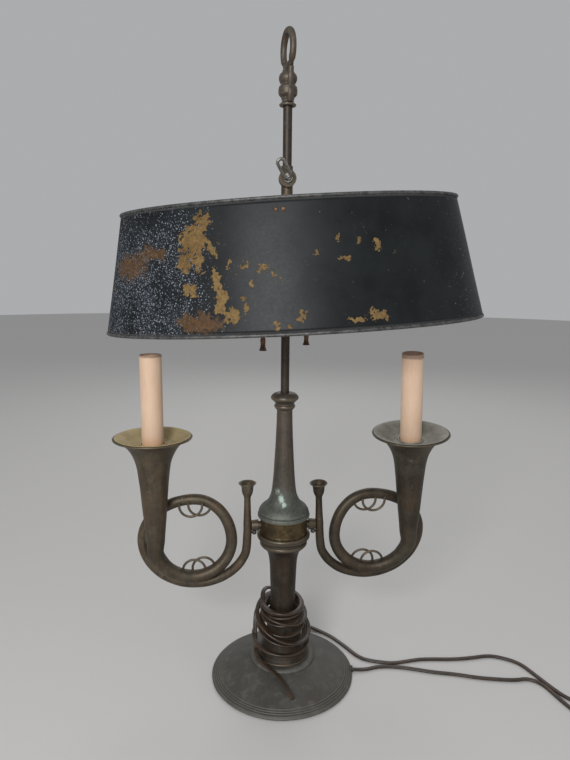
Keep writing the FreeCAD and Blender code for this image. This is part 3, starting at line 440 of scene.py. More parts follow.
def plainFinish(name, light, dark, rough, size=0.004, metal=0.0, depth=0.0003):
    net = Net(name)
    grain = net.noise(size, 6, 0.65)
    spots = net.noise(size * 0.3, 3, 0.6)
    color = net.mix((grain * 0.7 + spots * 0.3).step(0.35, 0.68), dark, light)
    return net.finish(color, rough + grain * 0.2, metal=metal, normal=net.bump(grain + spots * 0.4, depth, 0.5))


def feltFinish():
    # worn wool felt, matted in clumps
    net = Net("felt")
    fuzz = net.noise(0.0009, 6, 0.75)
    clump = net.noise(0.008, 5, 0.65)
    color = net.mix((fuzz * 0.6 + clump * 0.4).step(0.35, 0.65), (0.035, 0.075, 0.040), (0.085, 0.150, 0.090))
    color = net.mix(clump.step(0.60, 0.72) * 0.5, color, (0.13, 0.115, 0.075))
    return net.finish(color, 0.88 + fuzz * 0.1, sheen=0.5, normal=net.bump(fuzz + clump * 0.5, 0.0006, 0.8))


def cordFinish():
    # brown twin flex: glossy skin with fine cracks and dust
    net = Net("cordBrown")
    cloud = net.noise(0.018, 5, 0.6)
    fine = net.noise(0.0016, 5, 0.7)
    color = net.mix((cloud * 0.6 + fine * 0.4).step(0.35, 0.65), (0.018, 0.011, 0.006), (0.054, 0.031, 0.017))
    color = net.mix((net.noise(0.006, 6, 0.7) + fine * 0.2).step(0.66, 0.82) * 0.3, color, (0.12, 0.085, 0.058))
    return net.finish(color, 0.24 + fine * 0.22 + cloud * 0.1, coat=0.15, coatRough=0.3,
                      normal=net.bump(fine + cloud * 0.5, 0.0003, 0.45))


def floorFinish():
    net = Net("paleFloor")
    grain = net.noise(0.02, 4, 0.5)
    color = net.mix(grain * 0.25, light["floorColor"], liftColor(light["floorColor"], 0.96))
    return net.finish(color, 0.62 + grain * 0.05, specular=0.3)

# mesh making


def addMesh(name, points, faces, wear=None, grime=None):
    mesh = bpy.data.meshes.new(name)
    mesh.from_pydata([tuple(point) for point in points], [], faces)
    for polygon in mesh.polygons:
        polygon.use_smooth = True
    for mark, values in (("wear", wear), ("grime", grime)):
        if values:
            mesh.attributes.new(mark, "FLOAT", "POINT").data.foreach_set("value", values)
    piece = bpy.data.objects.new(name, mesh)
    bpy.context.collection.objects.link(piece)
    return piece


def settle(piece, body, slot, finish, *nodes):
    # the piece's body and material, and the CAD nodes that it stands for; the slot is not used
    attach(piece, body)
    piece.data.materials.append(finish)
    if nodes:
        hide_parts(*nodes)
    return piece


def through(points, step):
    # a smooth line through points of any number of values, about one step apart
    line = []
    rows = [Vector(point) for point in points]
    for i in range(len(rows) - 1):
        here, there = rows[i], rows[i + 1]
        before = rows[i - 1] if i else here * 2 - there
        after = rows[i + 2] if i + 2 < len(rows) else there * 2 - here
        run = (there - here).length
        startPull = (there - before) * (run / ((here - before).length + run))
        endPull = (after - here) * (run / ((after - there).length + run))
        count = max(1, math.ceil(run / step))
        for k in range(count):
            u = k / count
            line.append(here * (2 * u**3 - 3 * u**2 + 1) + startPull * (u**3 - 2 * u**2 + u)
                        + there * (3 * u**2 - 2 * u**3) + endPull * (u**3 - u**2))
    return line + [rows[-1]]


def eased(outline, step=2.0):
    # an outline of (radius, height, softness): each corner rounded, each long run divided
    rows = [(Vector(point[:2]), point[2] if len(point) > 2 else 0.0) for point in outline]
    line = []
    for i, (here, soft) in enumerate(rows):
        if soft and 0 < i < len(rows) - 1:
            back, on = rows[i - 1][0] - here, rows[i + 1][0] - here
            start = here + back.normalized() * min(soft, back.length * 0.48)
            end = here + on.normalized() * min(soft, on.length * 0.48)
            corner = [start.lerp(here, u).lerp(here.lerp(end, u), u) for u in (0, 0.25, 0.5, 0.75, 1)]
        else:
            corner = [here]
        if line:
            gap = (corner[0] - line[-1]).length
            count = int(gap / step)
            line += [line[-1].lerp(corner[0], (k + 1) / (count + 1)) for k in range(count)]
        line += corner
    return line


def raised(base, rows):
    # an outline whose heights are measured from base
    return [(row[0], base + row[1], *row[2:]) for row in rows]


def bulges(line, reach=1.3, full=0.30):
    # how far each point of a profile stands out from, or lies below, its neighbours a short way off
    lengths = [0.0]
    for a, b in zip(line, line[1:]):
        lengths.append(lengths[-1] + (b - a).length)

    def at(length):
        length = min(max(length, 0), lengths[-1])
        i = next((k for k in range(1, len(lengths)) if lengths[k] >= length), len(lengths) - 1)
        span = lengths[i] - lengths[i - 1]
        return line[i - 1].lerp(line[i], (length - lengths[i - 1]) / span if span else 0)

    wear, grime = [], []
    for i, point in enumerate(line):
        before, after = at(lengths[i] - reach), at(lengths[i] + reach)
        way = after - before
        out = Vector((way[1], -way[0])).normalized() if way.length else Vector((1, 0))
        stand = (point - (before + after) * 0.5).dot(out) / full
        wear.append(min(max(stand, 0), 1))
        grime.append(min(max(-stand, 0), 1))
    return wear, grime


def spread(values, sides):
    # one value of each ring given to all its points
    return [value for value in values for _ in range(sides)]


def skin(rows):
    # faces between rows of points; each row is a ring
    count = len(rows[0])
    points = [point for row in rows for point in row]
    faces = []
    for r in range(len(rows) - 1):
        for k in range(count):
            after = (k + 1) % count
            faces.append((r * count + k, r * count + after, (r + 1) * count + after, (r + 1) * count + k))
    return points, faces


def turned(name, outline, body, slot, finish, nodes=(), place=None, sides=128, uneven=0.10, step=2.0):
    # a piece turned about Z from its outline in millimetres; a little uneven, as hand-finished castings are
    line = eased(outline, step)
    wear, grime = bulges(line)
    place = place or Matrix.Identity(4)
    rows = []
    for point in line:
        ring = []
        for k in range(sides):
            angle = 2 * math.pi * k / sides
            way = Vector((math.cos(angle), math.sin(angle), 0))
            radius = point[0]
            if radius > 3:
                radius += uneven * noise.noise(Vector((way.x * 2, way.y * 2, point[1] * 0.05 + len(name))))
            ring.append(place @ ((way * radius + Vector((0, 0, point[1]))) * mm))
        rows.append(ring)
    points, faces = skin(rows)
    for end in (0, len(rows) - 1):
        if 0.05 < line[end][0] < 3:
            cap = [end * sides + k for k in range(sides)]
            faces.append(cap if end else cap[::-1])
    return settle(addMesh(name, points, faces, spread(wear, sides), spread(grime, sides)), body, slot, finish, *nodes)


def ringAt(point, side, up, radius, sides, place, uneven=0.0):
    ring = []
    for k in range(sides):
        angle = 2 * math.pi * k / sides
        out = side * math.cos(angle) + up * math.sin(angle)
        spot = point + out * radius
        if uneven:
            spot += out * uneven * noise.noise(spot * 0.07)
        ring.append(place @ (spot * mm))
    return ring


def tube(name, line, radii, body, slot, finish, nodes, place, sides, closed=False):
    # a bar of changing radius along a line, its rings turned as little as possible from one to the next
    count = len(line)
    side = None
    rows = []
    for i, point in enumerate(line):
        before = line[i - 1] if i or closed else line[0]
        after = line[(i + 1) % count] if i < count - 1 or closed else line[-1]
        way = (after - before).normalized()
        if side is None:
            side = way.orthogonal().normalized() if abs(way.y) > 0.9 else way.cross(Vector((0, 1, 0))).normalized()
        side = (side - way * side.dot(way)).normalized()
        rows.append(ringAt(point, side, way.cross(side), radii[i], sides, place))
    if closed:
        rows.append(rows[0])
    points, faces = skin(rows)
    if closed:
        last = (len(rows) - 1) * sides
        points = points[:last]
        faces = [tuple(v % last for v in face) for face in faces]
    else:
        faces += [list(range(sides))[::-1], [len(points) - sides + k for k in range(sides)]]
    return settle(addMesh(name, points, faces), body, slot, finish, *nodes)


def dress(finish, *nodes):
    # a CAD node keeps its shape and takes a better finish
    for node in nodes:
        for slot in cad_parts[node].material_slots:
            slot.material = finish


# the cord comes first: one flat twin flex from the rim's gland, out and back along the table,
# up behind the foot, round the pedestal in loose turns and down over the foot to its bare end

cord = {
    "width": 5.2, "thickness": 2.9,
    "exit": 86.2, "exitTurn": -4.0, "lie": 1.7,  # where the gland's face is, and how high the cord's middle lies
    "floor": [
        (118, -1.5), (140, -3.3), (161, -9.2), (182, -16.7), (211, -23.1), (232, -30.5),
        (254, -35.2), (278, -39), (294, -36.5), (307, -47), (312.5, -70), (320, -96), (337, -120),
        (364, -132), (386, -128), (398, -108), (388, -88), (364, -82), (340, -86), (322, -74),
        (311, -46), (304.5, -27), (297, -7), (278, 5.6), (263, 10), (243, 7), (216, 5.5),
        (178, 9.4), (155, 5.5), (139, 3.2), (122, 7), (104, 13.5), (94, 25.4), (86.5, 40),
        (78, 53.7), (69, 67), (58, 78)],
    "climb": [(41, 89, 4.2), (25, 82, 11), (16, 67, 17.5), (10, 52, 25), (6, 42, 33)],
    "tail": [(-33, -2, 37), (-32, -18, 34), (-23, -32, 32), (-13.5, -41, 29.5), (-5.5, -51, 25),
             (1, -61, 20.5), (6, -70, 15.5)],
    # each turn: its middle height, how far its front hangs below its back, its radius, and the way it leans
    "turns": [(46, 8, 37.2, -20), (59, 12, 30.0, -35), (68, 13, 26.5, -30), (78, 7, 24.5, -20), (86, 3, 23.5, 10),
              (90, 2, 22.8, 0), (94, 2, 23.5, 30), (88, 4, 25.0, 0), (74, 15, 31.0, -30), (60, 16, 35.0, -45)],
    "perTurn": 16,
    "loop": {"turn": 6, "angle": 148, "wide": 30, "high": 9, "out": 3},  # a slack loop standing up at the back
}


def cordPoints():
    turn = math.radians(cord["exitTurn"])
    points = [(reach * math.cos(turn), reach * math.sin(turn), cord["lie"] + 1.1 * near)
              for reach, near in ((cord["exit"], 1), (cord["exit"] + 15, 0))]
    points += [(x, y, cord["lie"]) for x, y in cord["floor"]] + cord["climb"]
    # the turns: each eases into the next over its last third; they run on round from the back
    start = math.radians(84)
    turns = cord["turns"]
    count = cord["perTurn"]
    tailAngle = math.atan2(cord["tail"][0][1], cord["tail"][0][0])
    whole = len(turns) * 2 * math.pi + (tailAngle - start) % (2 * math.pi) - 2 * math.pi
    steps = int(whole / (2 * math.pi) * count)
    for i in range(1, steps):
        angle = start + whole * i / steps
        along = i / steps * (len(turns) - 1)
        low = min(int(along), len(turns) - 2)
        share = along - low
        share = share * share * (3 - 2 * share)
        height, hang, radius, lean = (a + (b - a) * share for a, b in zip(turns[low], turns[low + 1]))
        wobble = 0.9 * math.sin(angle * 1.7 + 2 * low)
        up = height + hang * math.sin(angle + math.radians(lean)) + wobble
        slack = cord["loop"]
        away = math.degrees(angle) - 360 * slack["turn"] - slack["angle"]
        rise = math.exp(-(away / slack["wide"]) ** 2)
        up += slack["high"] * rise
        radius += slack["out"] * rise
        points.append(((radius + wobble) * math.cos(angle), (radius + wobble) * math.sin(angle), up))
    return points + cord["tail"]


def makeCord():
    points = cordPoints()
    data = bpy.data.curves.new("twinFlex", "CURVE")
    data.dimensions = "3D"
    data.twist_mode = "Z_UP"
    data.resolution_u = 6
    line = data.splines.new("NURBS")
    line.points.add(len(points) - 1)
    for point, spot in zip(line.points, points):
        point.co = (*(Vector(spot) * mm), 1)
        point.radius = mm  # the section is drawn in millimetres
    line.order_u = 3
    line.use_endpoint_u = True
    section = bpy.data.curves.new("flexSection", "CURVE")
    section.dimensions = "2D"
    shape = section.splines.new("POLY")
    half = cord["thickness"] / 2
    offset = cord["width"] / 2 - half
    outline = []
    for sign in (1, -1):
        for k in range(11):
            angle = math.radians(-128 + 25.6 * k)
            outline.append((sign * (offset + half * math.cos(angle)), half * math.sin(angle) * sign))
    shape.points.add(len(outline) - 1)
    for point, (x, y) in zip(shape.points, outline):
        point.co = (x, y, 0, 1)
    shape.use_cyclic_u = True
    profile = bpy.data.objects.new("flexSection", section)
    data.bevel_mode = "OBJECT"
    data.bevel_object = profile
    data.use_fill_caps = True
    flex = bpy.data.objects.new("twinFlex", data)
    bpy.context.collection.objects.link(flex)
    bpy.context.view_layer.update()
    settle(flex, "stand", "cord_brown", cordFinish(), "cord_lead", "cord_bundle", "cord_tail")


def makeFloor():
    radius = light["floorRadius"]
    sides = light["floorSides"]
    angles = [2 * math.pi * k / sides for k in range(sides)]
    points = [(radius * math.cos(angle), radius * math.sin(angle), 0) for angle in angles]
    floor = addMesh("floor", points, [list(range(sides))])
    floor.data.materials.append(floorFinish())


makeFloor()
makeCord()

# the stand: foot, pedestal, drum, upper column and its cap, all turned about the rod

standHeights = {node: (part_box(node)[0].z / mm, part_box(node)[1].z / mm)
                for node in ("foot", "pedestal", "arm_drum", "upper_column", "column_cap", "finial_base")}

foot = {
    "radius": 85.0, "boss": 38.6, "bossHigh": 4.2, "bore": 4.9,
    "tier": 2.0, "tierHigh": 1.4, "edge": 4.2, "soft": 0.45, "uneven": 0.35,
}


def makeFoot():
    low, high = standHeights["foot"]
    radius, tier, soft = foot["radius"], foot["tier"], foot["soft"]
    outline = [(77.5, low + 0.2), (radius - 0.9, low, 0.6), (radius, low + 0.9, 0.7), (radius, low + 2.0, 1.0),
               (radius - tier, low + foot["edge"], 1.2)]
    up = low + foot["edge"]
    for k in range(2, 5):
        # fine steps above the rolled edge, a groove before each
        outline += [(radius - k * tier + 0.5, up + 0.1, soft), (radius - k * tier + 0.1, up + foot["tierHigh"], soft)]
        up += foot["tierHigh"]
    shoulder = high - foot["bossHigh"]
    outline += [(radius - 4.6 * tier, up + 0.2, 0.5)]
    dome = through([(radius - 4.8 * tier, up + 0.4), (62, low + 14.6), (50, low + 19.4),
                    (foot["boss"] + 0.5, shoulder)], 3)
    outline += [tuple(point) for point in dome]
    outline += [(foot["boss"], shoulder + 0.2, 0.4), (foot["boss"] - 0.3, high - 2.0, 1.8),
                (foot["boss"] - 2.6, high - 0.1, 1.6), (foot["bore"], high)]
    turned("footTurned", outline, "stand", "foot_bronze", footFinish(), ["foot"], uneven=foot["uneven"], sides=160)


pedestal = {
    "base": 32.0, "waist": 14.7, "waistHigh": 76.0, "neck": 16.4, "saucer": 30.8, "band": 6.4, "recess": 2.6,
    "drum": 27.5, "bore": 4.9,
}


def makePedestal():
    low, high = standHeights["pedestal"]
    base, waist, saucer = pedestal["base"], pedestal["waist"], pedestal["saucer"]
    band = high - pedestal["band"]
    outline = [(base - 8, low), (base, low, 0.5), (base, low + 1.8, 0.6), (base - 2.6, low + 4.4, 0.8)]
    flare = through([(base - 3.0, low + 5), (25.2, low + 14), (20.4, low + 28), (17.2, low + 44),
                     (waist + 0.8, low + 60),
                     (waist, low + pedestal["waistHigh"]), (15.3, low + 98), (pedestal["neck"], low + 120),
                     (18.6, high - 24.5), (21.6, high - 19.8), (saucer - 6, high - 17)], 3)
    outline += [tuple(point) for point in flare]
    outline += [(saucer - 4.4, high - 15.4, 0.8), (saucer - 3.0, high - 13.6, 1.2), (saucer - 3.4, band - 4.8, 1.0),
                (saucer - 5.6, band - 3.6, 0.8), (saucer - 3.2, band - 1.0, 1.6), (saucer - 0.6, band + 0.6, 1.0),
                (saucer, band + 2.0, 0.9), (saucer, high - 1.3, 0.9), (saucer - 1.2, high, 0.8),
                (pedestal["drum"] + 0.7, high, 0.6), (pedestal["drum"], high - 1, 0.4),
                (pedestal["drum"], high - pedestal["recess"] + 0.1),
                (pedestal["bore"], high - pedestal["recess"] + 0.05)]
    turned("pedestalTurned", outline, "stand", "aged_bronze",
           bronzeFinish("pedestalBronze", 0.46, 0.2, 0.22, streaks=0.4, tint=(0.088, 0.063, 0.043),
                        dusty=((high - 21) * mm, (high - 12) * mm)), ["pedestal"],
           uneven=0.16)


def makeDrum():
    low, high = standHeights["arm_drum"]
    radius = pedestal["drum"] - 0.1
    turned("drumTurned", [(pedestal["bore"], low), (radius - 1, low, 0.4), (radius, low + 0.8, 0.4),
                          (radius, low + 4.2, 0.3), (radius - 0.35, low + 4.6, 0.2), (radius - 0.35, high - 1.6, 0.3),
                          (radius, high - 1.2, 0.3), (radius - 0.2, high, 0.4), (pedestal["bore"], high)],
           "stand", "yellow_brass", brassFinish("drumBrass", (0.130, 0.089, 0.042), (0.052, 0.038, 0.022), 0.5),
           ["arm_drum"], uneven=0.1)


column = {"lip": 30.2, "waist": 14.1, "top": 8.8, "bore": 4.9, "capRadius": 15.8}


def makeColumn():
    low, high = standHeights["upper_column"]
    lip, waist, top = column["lip"], column["waist"], column["top"]
    outline = [(column["bore"], low), (lip - 1.6, low, 0.6), (lip - 0.1, low + 0.9, 0.8), (lip, low + 2.6, 1.0),
               (lip - 0.5, low + 4.6, 0.8), (lip - 1.5, low + 5.2, 0.3), (lip - 1.1, low + 6.0, 0.5)]
    sweep = through([(lip - 1.4, low + 8.0), (lip - 4.2, low + 12.2), (lip - 8.4, low + 15.6),
                     (waist + 4.2, low + 19.5),
                     (waist + 1.4, low + 25.5), (waist - 0.2, low + 33), (12.2, low + 50), (waist - 3.6, low + 78),
                     (9.3, low + 104), (top, high - 4)], 2.5)
    outline += [tuple(point) for point in sweep] + [(top, high), (column["bore"], high)]
    turned("upperColumn", outline, "stand", "verdigris_bronze",
           columnFinish(), ["upper_column"], uneven=0.14)
    low, high = standHeights["column_cap"]
    wide = column["capRadius"]
    cap = raised(low, [(column["bore"], 0), (top, 0, 0.3), (top + 0.5, 0.6, 0.4), (top + 2.5, 3.0, 0.9),
                       (top + 3.3, 4.6, 0.9),
                       (top + 2.5, 6.2, 0.8), (top + 1.3, 7.5, 0.6), (top + 3.2, 10.0, 1.6), (wide - 0.6, 12.6, 1.2),
                       (wide, 14.2, 1.1), (wide - 0.8, 16.4, 1.2)])
    cap += raised(high, [(wide - 3.4, -1.0, 1.8), (wide - 6.6, 0, 1.0), (column["bore"], -0.2)])
    turned("columnCap", cap, "stand", "aged_bronze",
           bronzeFinish("capBronze", 1.0, 0.3, 0.15, tint=(0.115, 0.095, 0.078)), ["column_cap"], uneven=0.12)


# the finial: a turned cup with two knuckles, and an oval hand ring seen almost edge on

finial = {
    "turn": 106.0, "centre": 16.9, "high": 17.8, "wide": 13.6, "bar": 3.8, "notch": 0.72,
    "ear": [(5.0, 4.0, 3.2), (6.4, 9.5, 4.0), (6.8, 14.0, 4.1), (6.0, 18.5, 3.1), (6.6, 23.5, 3.7), (7.2, 28.0, 3.9),
            (7.4, 32.5, 3.2), (8.0, 37.0, 3.0)],  # out from the middle, up from the foot, thickness
    "cup": [(4.9, 0), (8.2, 0, 0.4), (8.9, 0.9, 0.5), (8.9, 1.8, 0.5), (7.4, 3.0, 0.7), (6.3, 4.2, 0.6),
            (6.1, 6.0, 0.6),
            (7.0, 7.4, 0.6), (6.6, 8.2, 0.4), (8.6, 10.0, 1.0), (9.7, 11.6, 0.8), (9.9, 15.4, 1.4), (9.4, 18.8, 1.0),
            (7.9, 20.2, 0.9), (7.4, 21.4, 0.7), (8.6, 23.2, 0.9), (9.5, 25.6, 1.3), (9.5, 28.2, 1.3),
            (8.3, 30.8, 1.0),
            (6.6, 32.4, 1.2)],  # heights from the foot
    "crown": [(5.2, -2.4, 1.4), (3.4, -0.6, 1.2), (0.1, 0)],  # heights from the top
    "sides": 24, "ringSteps": 96,
}


def makeFinial():
    low, high = standHeights["finial_base"]
    finish = bronzeFinish("finialBronze", 1.0, 0.35, 0.15, tint=(0.115, 0.096, 0.076))
    turned("finialCup", raised(low, finial["cup"]) + raised(high, finial["crown"]), "stand", "aged_bronze", finish,
           ["finial_base"], sides=72, step=1.2)
    # the ring is thicker at its crown and narrows to a notch on each side above the cup
    centre = high + finial["centre"]
    line, radii = [], []
    for k in range(finial["ringSteps"]):
        angle = 2 * math.pi * k / finial["ringSteps"]
        down = max(0, -math.cos(angle))
        wide = finial["wide"] * (1 - 0.30 * down ** 3)
        line.append(Vector((wide * math.sin(angle), 0, finial["high"] * math.cos(angle))))
        notch = math.exp(-((math.cos(angle) + finial["notch"]) / 0.10) ** 2)
        radii.append(finial["bar"] * (0.98 - 0.10 * math.sin(angle) ** 2 - 0.24 * notch))
    place = Matrix.Translation((0, 0, centre * mm)) @ Matrix.Rotation(math.radians(finial["turn"]), 4, "Z")
    tube("finialRing", line, radii, "stand", "aged_bronze", finish, ["finial_loop"], place, finial["sides"],
         closed=True)
    # its two legs run down the sides of the cup
    place = Matrix.Rotation(math.radians(finial["turn"]), 4, "Z")
    for sign in (1, -1):
        rows = through([(sign * out, 0, low + up, thick) for out, up, thick in finial["ear"]], 1.2)
        tube("finialLeg" + ("Back" if sign > 0 else "Front"), [Vector(row[:3]) for row in rows],
             [row[3] for row in rows],
             "stand", "aged_bronze", finish, (), place, finial["sides"])


# the horns: mouthpiece, one and a half turns of widening tube, and the bell that carries the candle

horn = {
    "left": {"sign": -1, "lean": 0.0, "roll": 0.0}, "right": {"sign": 1, "lean": 4.5, "roll": 2.6},
    "side": 42.0,  # from the rod to the mouth pipe
    "mouth": [(0.1, 46.0), (4.0, 45.4), (5.8, 48.0), (8.2, 51.0), (9.7, 51.9), (10.3, 51.5), (9.9, 50.7), (7.8, 49.3),
              (6.8, 46.5), (6.5, 42.0), (5.6, 38.5), (3.9, 34.5), (3.8, 29.0), (4.2, 14.0), (4.8, 2.0), (4.9, -8.0)],
    "offset": 61.0, "drop": 19.5,  # the coil's middle
    "reaches": [61.0, 52.5, 60.5, 48.6, 42.6, 40.5, 43.0],  # at each quarter turn from the mouth pipe
    "depths": [0.0, -4.5, -10.5, -11.0, -4.0, 3.0, 9.5],  # how far forward at each quarter
    "grow": [5.1, 5.8, 6.2, 6.2, 6.6, 7.4, 8.6],  # tube's radius at each quarter
    "bell": [(9.0, 4), (10.3, 20), (12.1, 40), (14.0, 62), (15.9, 86), (17.9, 104), (20.2, 115), (24.3, 124.7),
             (30.0, 132.9), (36.4, 137.9), (41.6, 140.1)],
    "rim": [(43.1, 140.5), (43.5, 141.2), (43.1, 141.9), (41.9, 142.0), (35.6, 139.3), (29.0, 134.4), (23.0, 125.9),
            (19.0, 115.5), (16.0, 100.5)],
    "axis": (104.0, 9.5, -31.5),  # the bell's foot: outboard, forward and up
    "sweep": (14, 516, 12),  # the coil's first and last turn and its step, in degrees
    # brown scales each horn's colour; the right horn's lower value is painted shade, as that side lies away from the
    # light
    "sides": 56, "uneven": 0.22, "brown": {"left": 0.90, "right": 0.62},
}


def armPlace(side):
    low, high = standHeights["arm_drum"]
    start = Matrix.Translation(Vector((horn[side]["sign"] * horn["side"], 0, (low + high) / 2)) * mm)
    roll = Matrix.Rotation(math.radians(-horn[side]["sign"] * horn[side]["roll"]), 4, "Y")
    return start @ roll @ Matrix.Rotation(math.radians(horn[side]["lean"]), 4, "X")


def armPoint(side, across, forward, up):
    return Vector((horn[side]["sign"] * across, -forward, up))


def coilPoint(side, turn):
    # quarter ellipses between the reaches, easing forward and widening on the way
    quarter = min(int(turn // 90), len(horn["reaches"]) - 2)
    share = turn / 90 - quarter
    flat, steep = horn["reaches"][quarter:quarter + 2]
    if quarter % 2:
        flat, steep = steep, flat
    angle = math.radians(turn)
    eased = share * share * (3 - 2 * share) * 0.5 + share * 0.5
    forward, radius = (horn[key][quarter] * (1 - eased) + horn[key][quarter + 1] * eased for key in ("depths",
                                                                                                     "grow"))
    return armPoint(side, horn["offset"] - flat * math.cos(angle), forward,
                    -horn["drop"] - steep * math.sin(angle)), radius


def makeHorn(side):
    # each horn takes its own brightness from horn's brown; the right one's darker value is painted shade
    finish = bronzeFinish(side + "HornBronze", horn["brown"][side], 0.3, 0.25, 0.10, 0.5)
    stations = [(*armPoint(side, 0, 0, up), radius) for radius, up in horn["mouth"][10:]]
    for turn in range(*horn["sweep"]):
        point, radius = coilPoint(side, turn)
        stations.append((*point, radius))
    across, forward, foot = horn["axis"]
    stations += [(*armPoint(side, across, forward, foot + up), radius) for radius, up in horn["bell"][:5]]
    smooth = through(stations, 2.4)
    cup = [(*armPoint(side, 0, 0, up), radius) for radius, up in horn["mouth"][:10]]
    flare = through([(*armPoint(side, across, forward, foot + up), radius) for radius, up in horn["bell"][4:]], 1.6)
    rim = [(*armPoint(side, across, forward, foot + up), radius) for radius, up in horn["rim"]]
    body = [Vector(row) for row in cup] + smooth + flare[1:] + [Vector(row) for row in rim]
    line = [Vector(row[:3]) for row in body]
    radii = [row[3] for row in body]
    # rings stand square to the smooth tube and level in the cup and bell
    first, last = len(cup), len(cup) + len(smooth)
    run = [0.0]
    for a, b in zip(line, line[1:]):
        run.append(run[-1] + (b - a).length)
    wear, grime = bulges([Vector((r, s)) for r, s in zip(radii, run)], 1.3, 0.35)
    for i in range(first, last):
        # the outside of the coil is rubbed
        wear[i] = 0.16 + 0.2 * noise.noise(line[i] * 0.03)
    place = armPlace(side)
    rings = []
    aside = Vector((0, 1, 0))
    sides = horn["sides"]
    for i, point in enumerate(line):
        if first <= i < last:
            way = (line[min(i + 1, last)] - line[i - 1]).normalized()
        else:
            way = Vector((0, 0, -1 if i < first else 1))
        aside = (aside - way * aside.dot(way)).normalized()
        rings.append(ringAt(point, aside, way.cross(aside), radii[i], sides, place, horn["uneven"]))
    points, faces = skin(rings)
    faces.append(list(range(sides))[::-1])
    settle(addMesh(side + "Horn", points, faces, spread(wear, sides), spread(grime, sides)), "stand",
           "aged_bronze", finish,
           side + "_horn_tube", side + "_horn_bell", side + "_mouthpiece")
    makeSolder(side, place)
    makeDish(side, place)
    makeCandle(side, place)


solder = {
    "lumps": [((112.5, 1.5, -8.0), (4.6, 8.5, 12.0)), ((94, 3, -47.5), (9, 6, 4.2))],  # place and half size
    "seed": {"left": 7, "right": 8}, "rows": 20, "sides": 32,
}


def makeSolder(side, place):
    # rough solder between bell and coil
    rng = random.Random(solder["seed"][side])
    sides, count = solder["sides"], solder["rows"]
    finish = bronzeFinish(side + "Solder", 0.9, 0.2, 0.3, 1.0, 0.3)
    for index, (middle, size) in enumerate(solder["lumps"]):
        rows = []
        for r in range(1, count):
            polar = math.pi * r / count
            row = []
            for k in range(sides):
                angle = 2 * math.pi * k / sides
                way = Vector((math.sin(polar) * math.cos(angle), math.sin(polar) * math.sin(angle), math.cos(polar)))
                lump = 1 + 0.16 * noise.noise(way * 2.2 + Vector((rng.random() * 0.01 + index, 0, 0))) \
                    + 0.08 * noise.noise(way * 6)
                spot = Vector((way.x * size[0], way.y * size[1], way.z * size[2])) * lump
                row.append(place @ ((armPoint(side, *middle) + spot) * mm))
            rows.append(row)
        points, faces = skin(rows)
        faces += [list(range(sides))[::-1], [len(points) - sides + k for k in range(sides)]]
        settle(addMesh(f"{side}Solder{index + 1}", points, faces), "stand", "aged_bronze", finish)


dish = {
    "outline": [(5.0, 131.7), (23.6, 131.8, 0.6), (28.2, 134.5, 1.4), (33.4, 138.5, 1.5), (38.0, 141.2, 0.8),
                (41.3, 142.1, 0.5), (41.5, 142.7, 0.4), (40.6, 142.9, 0.5), (36.6, 141.8, 1.0), (32.4, 139.5, 1.5),
                (27.2, 135.6, 1.2), (23.4, 133.4, 1.0), (20.6, 133.2, 0.4), (20.2, 133.6, 0.3), (19.4, 133.6, 0.3),
                (19.0, 133.1, 0.4), (14.5, 133.1, 0.3), (14.1, 134.3, 0.4), (12.9, 134.3, 0.4), (12.7, 133.1, 0.2),
                (5.0, 133.0)],
    "left": ((0.40, 0.32, 0.165), (0.25, 0.20, 0.11), 0.3),
    "right": ((0.25, 0.24, 0.205), (0.17, 0.163, 0.14), 0.5),
}


def bellPlace(side, place):
    across, forward, foot = horn["axis"]
    return place @ Matrix.Translation(armPoint(side, across, forward, foot) * mm)


def makeDish(side, place):
    gold, dark, tarnish = dish[side]
    turned(side + "Dish", dish["outline"], "stand", "aged_bronze",
           brassFinish(side + "DishBrass", gold, dark, tarnish, 0.45, 0.4), [side + "_drip_dish"],
           bellPlace(side, place),
           sides=112, uneven=0.25, step=1.5)


candle = {
    "radius": 12.0, "wall": 1.1, "rest": 133.4,  # its foot's height above the bell's
    "foot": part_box("left_candle_cover")[0].z, "top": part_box("left_candle_cover")[1].z,
    "seed": {"left": 3, "right": 5}, "sides": 96, "lap": 0.10, "rag": (-0.10, 0.02),
}


def makeCandle(side, place):
    # a rolled card tube: its lap shows as a faint line and its cut ends are a little ragged
    axis = bellPlace(side, place)
    low = candle["rest"]
    high = low + (candle["top"] - candle["foot"]) / mm
    inner = candle["radius"] - candle["wall"]
    rng = random.Random(candle["seed"][side])
    sides = candle["sides"]
    rows = []
    profile = [(inner, high - 60), (inner, high - 0.4), (inner + 0.25, high - 0.08), (candle["radius"] - 0.3, high),
               (candle["radius"] - 0.02, high - 0.4)]
    profile += [(candle["radius"], high - 2 - 4 * k) for k in range(24)] + [(candle["radius"] - 0.1, low)]
    rag = [rng.uniform(*candle["rag"]) for _ in range(sides)]
    for radius, up in profile:
        row = []
        for k in range(sides):
            angle = 2 * math.pi * k / sides
            lap = candle["lap"] * (min(1, max(0, (k - 60) / 1.5)) - min(1, max(0, (k - 60) / 36)))
            near = max(0, 1 - abs(high - up) / 0.5)
            out = radius - 0.12 + lap if radius > inner + 0.3 else radius
            row.append(axis @ (Vector((out * math.cos(angle), out * math.sin(angle), up + rag[k] * near)) * mm))
        rows.append(row)
    points, faces = skin([row[::-1] for row in rows])
    settle(addMesh(side + "Candle", points, faces), side + "_candle", "candle_card", candleFinish(),
           side + "_candle_cover")


# the shade

shade = {
    "height": 541.0, "turn": -8.8, "tilt": -3.6,
    "top": (177.0, 100.0, 5.4), "bottom": (202.5, 126.0, -113.1), "wall": 0.9, "wave": 0.35,
    "sides": 240, "levels": 36, "edge": 2.2,  # the edge is the rubbed width along each rim
}


def shadePlace():
    seat = Matrix.Translation((0, 0, shade["height"] * mm))
    turn = Matrix.Rotation(math.radians(shade["turn"]), 4, "Z")
    return seat @ turn @ Matrix.Rotation(math.radians(shade["tilt"]), 4, "Y")


